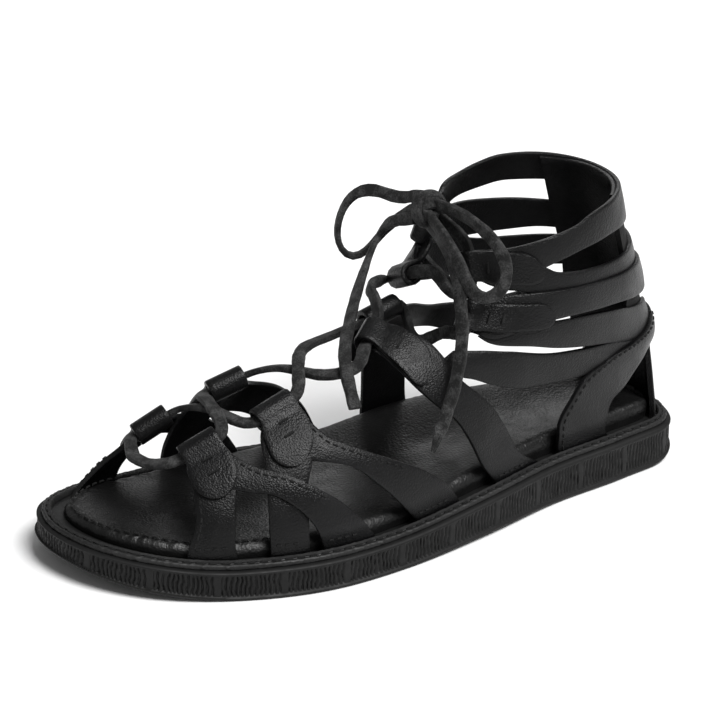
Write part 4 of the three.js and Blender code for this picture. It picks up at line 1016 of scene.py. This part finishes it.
# Outsole: levels up the side, with wavy ribs in groups.
soleLevels = table("up inset ribbed", (0, 1.5, 0), (0.02, 0.6, 0), (0.05, 0.1, 0), (0.09, 0, 0),
                   (0.115, 0.12, 0), (0.13, 0.65, 0), (0.15, 0.75, 0.5), (0.18, 0.78, 1), (0.26, 0.82, 1),
                   (0.34, 0.86, 1), (0.42, 0.9, 1), (0.5, 0.95, 1), (0.58, 1.0, 1), (0.66, 1.05, 1),
                   (0.74, 1.1, 1), (0.82, 1.13, 1), (0.86, 1.13, 0.5), (0.88, 1.08, 0), (0.895, 0.75, 0),
                   (0.93, 0.75, 0), (0.965, 1.1, 0), (0.99, 1.8, 0), (1, 2.6, 0), (1, 7, 0))
ribs = {"pitch": 1.75, "depth": 0.65, "groupLength": 22.75, "plainLength": 1.75, "stations": 1000,
        "groupFade": 0.8, "lowest": 0.14, "highest": 0.87, "uneven": 0.03, "fade": 0.04, "landShare": 0.42,
        "slopeShare": 0.4}


def ribDepthAt(s, up):
    along = s % (ribs["groupLength"] + ribs["plainLength"])
    grouped = smooth(along / ribs["groupFade"]) * smooth((ribs["groupLength"] - along) / ribs["groupFade"])
    number = math.floor(s / ribs["pitch"])
    wander = math.sin(number * 12.9898) * 43758.5453
    wander = (wander - math.floor(wander)) * 2 - 1
    bend = 0.17 * math.sin(up * 9 + s * 0.29) + 0.08 * math.sin(up * 19 + s * 0.83) + 0.1 * math.sin(s * 0.77)
    wave = 0.5 + 0.5 * math.sin(2 * math.pi * (s / ribs["pitch"] + bend))
    low = smooth((up - ribs["lowest"]) / ribs["fade"])
    high = smooth((ribs["highest"] - ribs["uneven"] * wander * wander - up) / ribs["fade"])
    return ribs["depth"] * grouped * smooth((wave - ribs["landShare"]) / ribs["slopeShare"]) * low * high


def heightAt(function, xs):
    samples = np.linspace(-soleLength / 2, soleLength / 2, 541)
    return np.interp(xs, samples, [function(x) for x in samples])


def ringOn(inset, count, height, rise=0):
    ring = ringAt(inset, count)
    ring[:, 2] = heightAt(height, ring[:, 0]) + rise
    return ring


def makeOutsole():
    count = ribs["stations"]
    rings = []
    at = around(ringAt(0, count))
    for level in soleLevels:
        ring = ringAt(level["inset"], count)
        if level["ribbed"]:
            depth = np.array([ribDepthAt(s, level["up"]) for s in at])
            ring = ring + inwardOf(ring, 2) * (depth * level["ribbed"])[:, None]
        low, high = heightAt(soleBottom, ring[:, 0]), heightAt(soleTop, ring[:, 0])
        ring[:, 2] = low + (high - low) * level["up"]
        rings.append(ring)
    rings = np.array([ringOn(7, count, soleBottom)] + rings)
    levels, size = rings.shape[:2]
    faces = stripFaces(levels, size)
    for base in (0, (levels - 1) * size):
        faces += [(base + i, base + i + 1, base + (size - i - 1) % size, base + (size - i) % size)
                  for i in range(size // 2)]
    gather = Gather()
    gather.put(rings, [face for face in faces if len(set(face)) > 2])
    gather.make("outsole_rubber", [soleRubber], "outsole", sharp=50)


makeOutsole()
print("outsole")


# Welt: a rough strip with a stitched channel round the sole's top.
welt = {"stations": 420, "channel": 1.7, "channelUp": 1.3, "roughness": 0.22, "fray": 0.16, "pitch": 4.6,
        "share": 0.78, "radius": 0.5}


def makeWelt():
    count = welt["stations"]
    inner = strapInset - wall / 2 - 2 * clearance
    profile = table("inset up", (weltInset, 0.0), (weltInset - 0.1, 0.9), (weltInset + 0.25, 1.5),
                    (weltInset + 0.7, weltThickness), (weltInset + 1.15, weltThickness - 0.1),
                    (weltInset + 1.5, 1.25), (weltInset + 1.9, 1.25), (weltInset + 2.25, weltThickness - 0.1),
                    (inner - 1.6, weltThickness + 0.2), (inner - 0.5, weltThickness + 0.6), (inner, 1.8),
                    (inner, 0.0))
    rings = []
    at = around(ringAt(weltInset, count))
    rough = welt["roughness"] * np.sin(at * 1.05) * np.sin(at * 0.31 + 1)
    rough += welt["fray"] * np.sin(at * 2.3 + np.sin(at * 0.4))
    for row in profile:
        ring = ringAt(row["inset"], count)
        near = 1 if row["inset"] < weltInset + 0.8 else 0.35
        ring = ring + inwardOf(ring, 1) * (rough * near * (row["up"] > 0))[:, None]
        ring[:, 2] = heightAt(soleTop, ring[:, 0]) + clearance + row["up"] + 0.12 * rough * (row["up"] > 1)
        rings.append(ring)
    rings = np.array(rings)
    gather = Gather()
    gather.put(rings, stripFaces(len(rings), rings.shape[1], closedRows=True))
    seam = ringOn(weltInset + welt["channel"], 900, soleTop, clearance + welt["channelUp"])
    putLevelSeam(gather, np.vstack([seam, seam[:1]]), 0.1, welt)
    gather.make("welt_leather_strip", [weltLeather, waxedThread], "welt", sharp=45)


makeWelt()
print("welt")

# Footbed: leather wrapped over a moulded board, gathered at the toes, with the prints of toes, ball and heel.
footbedInset = strapInset + wall / 2 + 6 * clearance
bed = {"stations": 300, "columns": 26, "seamInset": 2.6, "seamUntil": -62, "seamMiddle": 13,
       "gathersFrom": -70, "gathersOver": 30, "pitch": 3.6, "share": 0.7, "radius": 0.4}
bedSides = {side: edgeLine(side, footbedInset + 0.6) for side in (-1, 1)}
toePrints = table("x y reach depth", (-114, 22, 9, 0.9), (-108, 8, 7, 0.7), (-103, -4, 6.5, 0.65),
                  (-96, -14, 6, 0.6), (-89, -22, 5.5, 0.5), (-62, 22, 20, 0.7), (-58, -16, 19, 0.55),
                  (88, 10, 24, 0.9))


def footbedTop(x, y):
    along = toAlong(x)
    outer = np.interp(x, bedSides[-1][:, 0], bedSides[-1][:, 1])
    inner = np.interp(x, bedSides[1][:, 0], bedSides[1][:, 1])
    across = min(max(2 * (y - outer) / max(inner - outer, 1) - 1, -1), 1)
    thick = footbedThickness * read(footbedRows, "along", along, "thick")
    rim = heelCupDepth * read(footbedRows, "along", along, "rim") * abs(across) ** 3
    arch = archRise * read(footbedRows, "along", along, "arch") * smooth(max(across, 0) * 1.15)
    prints = sum(row["depth"] * math.exp(-((x - row["x"]) ** 2 + (y - row["y"]) ** 2) / row["reach"] ** 2)
                 for row in toePrints)
    swell = 0.12 * math.sin(x * 0.13 + y * 0.09) + 0.1 * math.sin(y * 0.23 - x * 0.05)
    return soleTop(x) + clearance + thick + rim + arch - prints + swell


def makeFootbed():
    count = bed["stations"]
    depths = (0, 0.5, 1.2, 2.1, 3.2, 4.6, 6.4, 8.8, 11.5)
    falls = (0.78, 0.56, 0.36, 0.2, 0.1, 0.04, 0.01, 0, 0)
    rings = [ringOn(footbedInset + 0.2, count, soleTop, clearance)]
    at = around(ringAt(footbedInset, count))
    for depth, fall in zip(depths, falls):
        ring = ringAt(footbedInset + depth, count)
        tops = np.array([footbedTop(x, y) for x, y in ring[:, :2]])
        bunched = np.clip((bed["gathersFrom"] - ring[:, 0]) / bed["gathersOver"], 0, 1)
        pleats = np.sin(at * 1.15 + 2 * np.sin(at * 0.21)) * (0.4 + 0.3 * np.sin(at * 0.47))
        fade = math.exp(-((depth - 2) / 3.2) ** 2)
        thick = footbedThickness * heightAt(lambda x: read(footbedRows, "along", toAlong(x), "thick"),
                                            ring[:, 0])
        ring[:, 2] = tops - fall * thick + pleats * fade * (0.12 + 0.4 * bunched)
        rings.append(ring)
    rings = np.array(rings)
    gather = Gather()
    levels, size = rings.shape[:2]
    points = list(rings.reshape(-1, 3))
    faces = stripFaces(levels, size)
    last = (levels - 1) * size
    columns = bed["columns"]
    half = size // 2
    previous = [last] * (columns + 1)
    for i in range(1, half + 1):
        if i == half:
            current = [last + half] * (columns + 1)
        else:
            a, b = rings[-1][i], rings[-1][size - i]
            current = [last + i]
            for k in range(1, columns):
                x, y = (a + (b - a) * k / columns)[:2]
                current.append(len(points))
                points.append(np.array([x, y, footbedTop(x, y)]))
            current.append(last + size - i)
        for k in range(columns):
            corners = (previous[k], current[k], current[k + 1], previous[k + 1])
            unique = tuple(dict.fromkeys(corners))
            if len(unique) > 2:
                faces.append(unique)
        previous = current
    faces += [tuple(dict.fromkeys((i, i + 1, (size - i - 1) % size, (size - i) % size))) for i in range(half)]
    gather.put(points, [face for face in faces if len(face) > 2])
    seam = ringAt(footbedInset + bed["seamInset"], 900)
    kept = seam[seam[:, 0] < bed["seamUntil"]]
    turns = np.arctan2(kept[:, 1] - bed["seamMiddle"], kept[:, 0] - bed["seamUntil"])
    kept = kept[np.argsort(turns % (2 * math.pi))]
    kept[:, 2] = [footbedTop(x, y) for x, y in kept[:, :2]]
    putLevelSeam(gather, kept, 0.05, bed)
    gather.make("footbed_leather_cover", [insoleLeather, waxedThread], "footbed", sharp=60)


makeFootbed()
print("footbed")


# Studio: a pale floor, soft light from above and from behind.
def makeStudio():
    mesh = bpy.data.meshes.new("floor")
    mesh.from_pydata([(-4, -4, 0), (4, -4, 0), (4, 4, 0), (-4, 4, 0)], [], [(0, 1, 2, 3)])
    floor = bpy.data.objects.new("floor", mesh)
    bpy.context.scene.collection.objects.link(floor)
    made, tree, place, skin = surface("pale floor")
    feed(tree, skin, {"Base Color": grey(0.93), "Roughness": 0.9})
    mesh.materials.append(made)
    world = bpy.data.worlds.new("studio")
    world.use_nodes = True
    feed(world.node_tree, world.node_tree.nodes["Background"], {"Color": grey(1), "Strength": 0.22})
    bpy.context.scene.world = world
    lights = table("name kind size power x y z", ("above", "SUN", 32, 3.7, 0.14, -0.48, 0.86),
                   ("behind", "AREA", 0.35, 0.9, 0.45, 0.65, 0.45))
    for row in lights:
        light = bpy.data.lights.new(row["name"], row["kind"])
        if row["kind"] == "SUN":
            light.angle = math.radians(row["size"])
        else:
            light.size = row["size"]
        light.energy = row["power"]
        lamp = bpy.data.objects.new(row["name"], light)
        lamp.location = (row["x"], row["y"], row["z"])
        lamp.rotation_euler = (-lamp.location + Vector((0, 0, 0.05))).to_track_quat("-Z", "Y").to_euler()
        bpy.context.scene.collection.objects.link(lamp)
    bpy.context.scene.view_settings.view_transform = "Standard"


makeStudio()
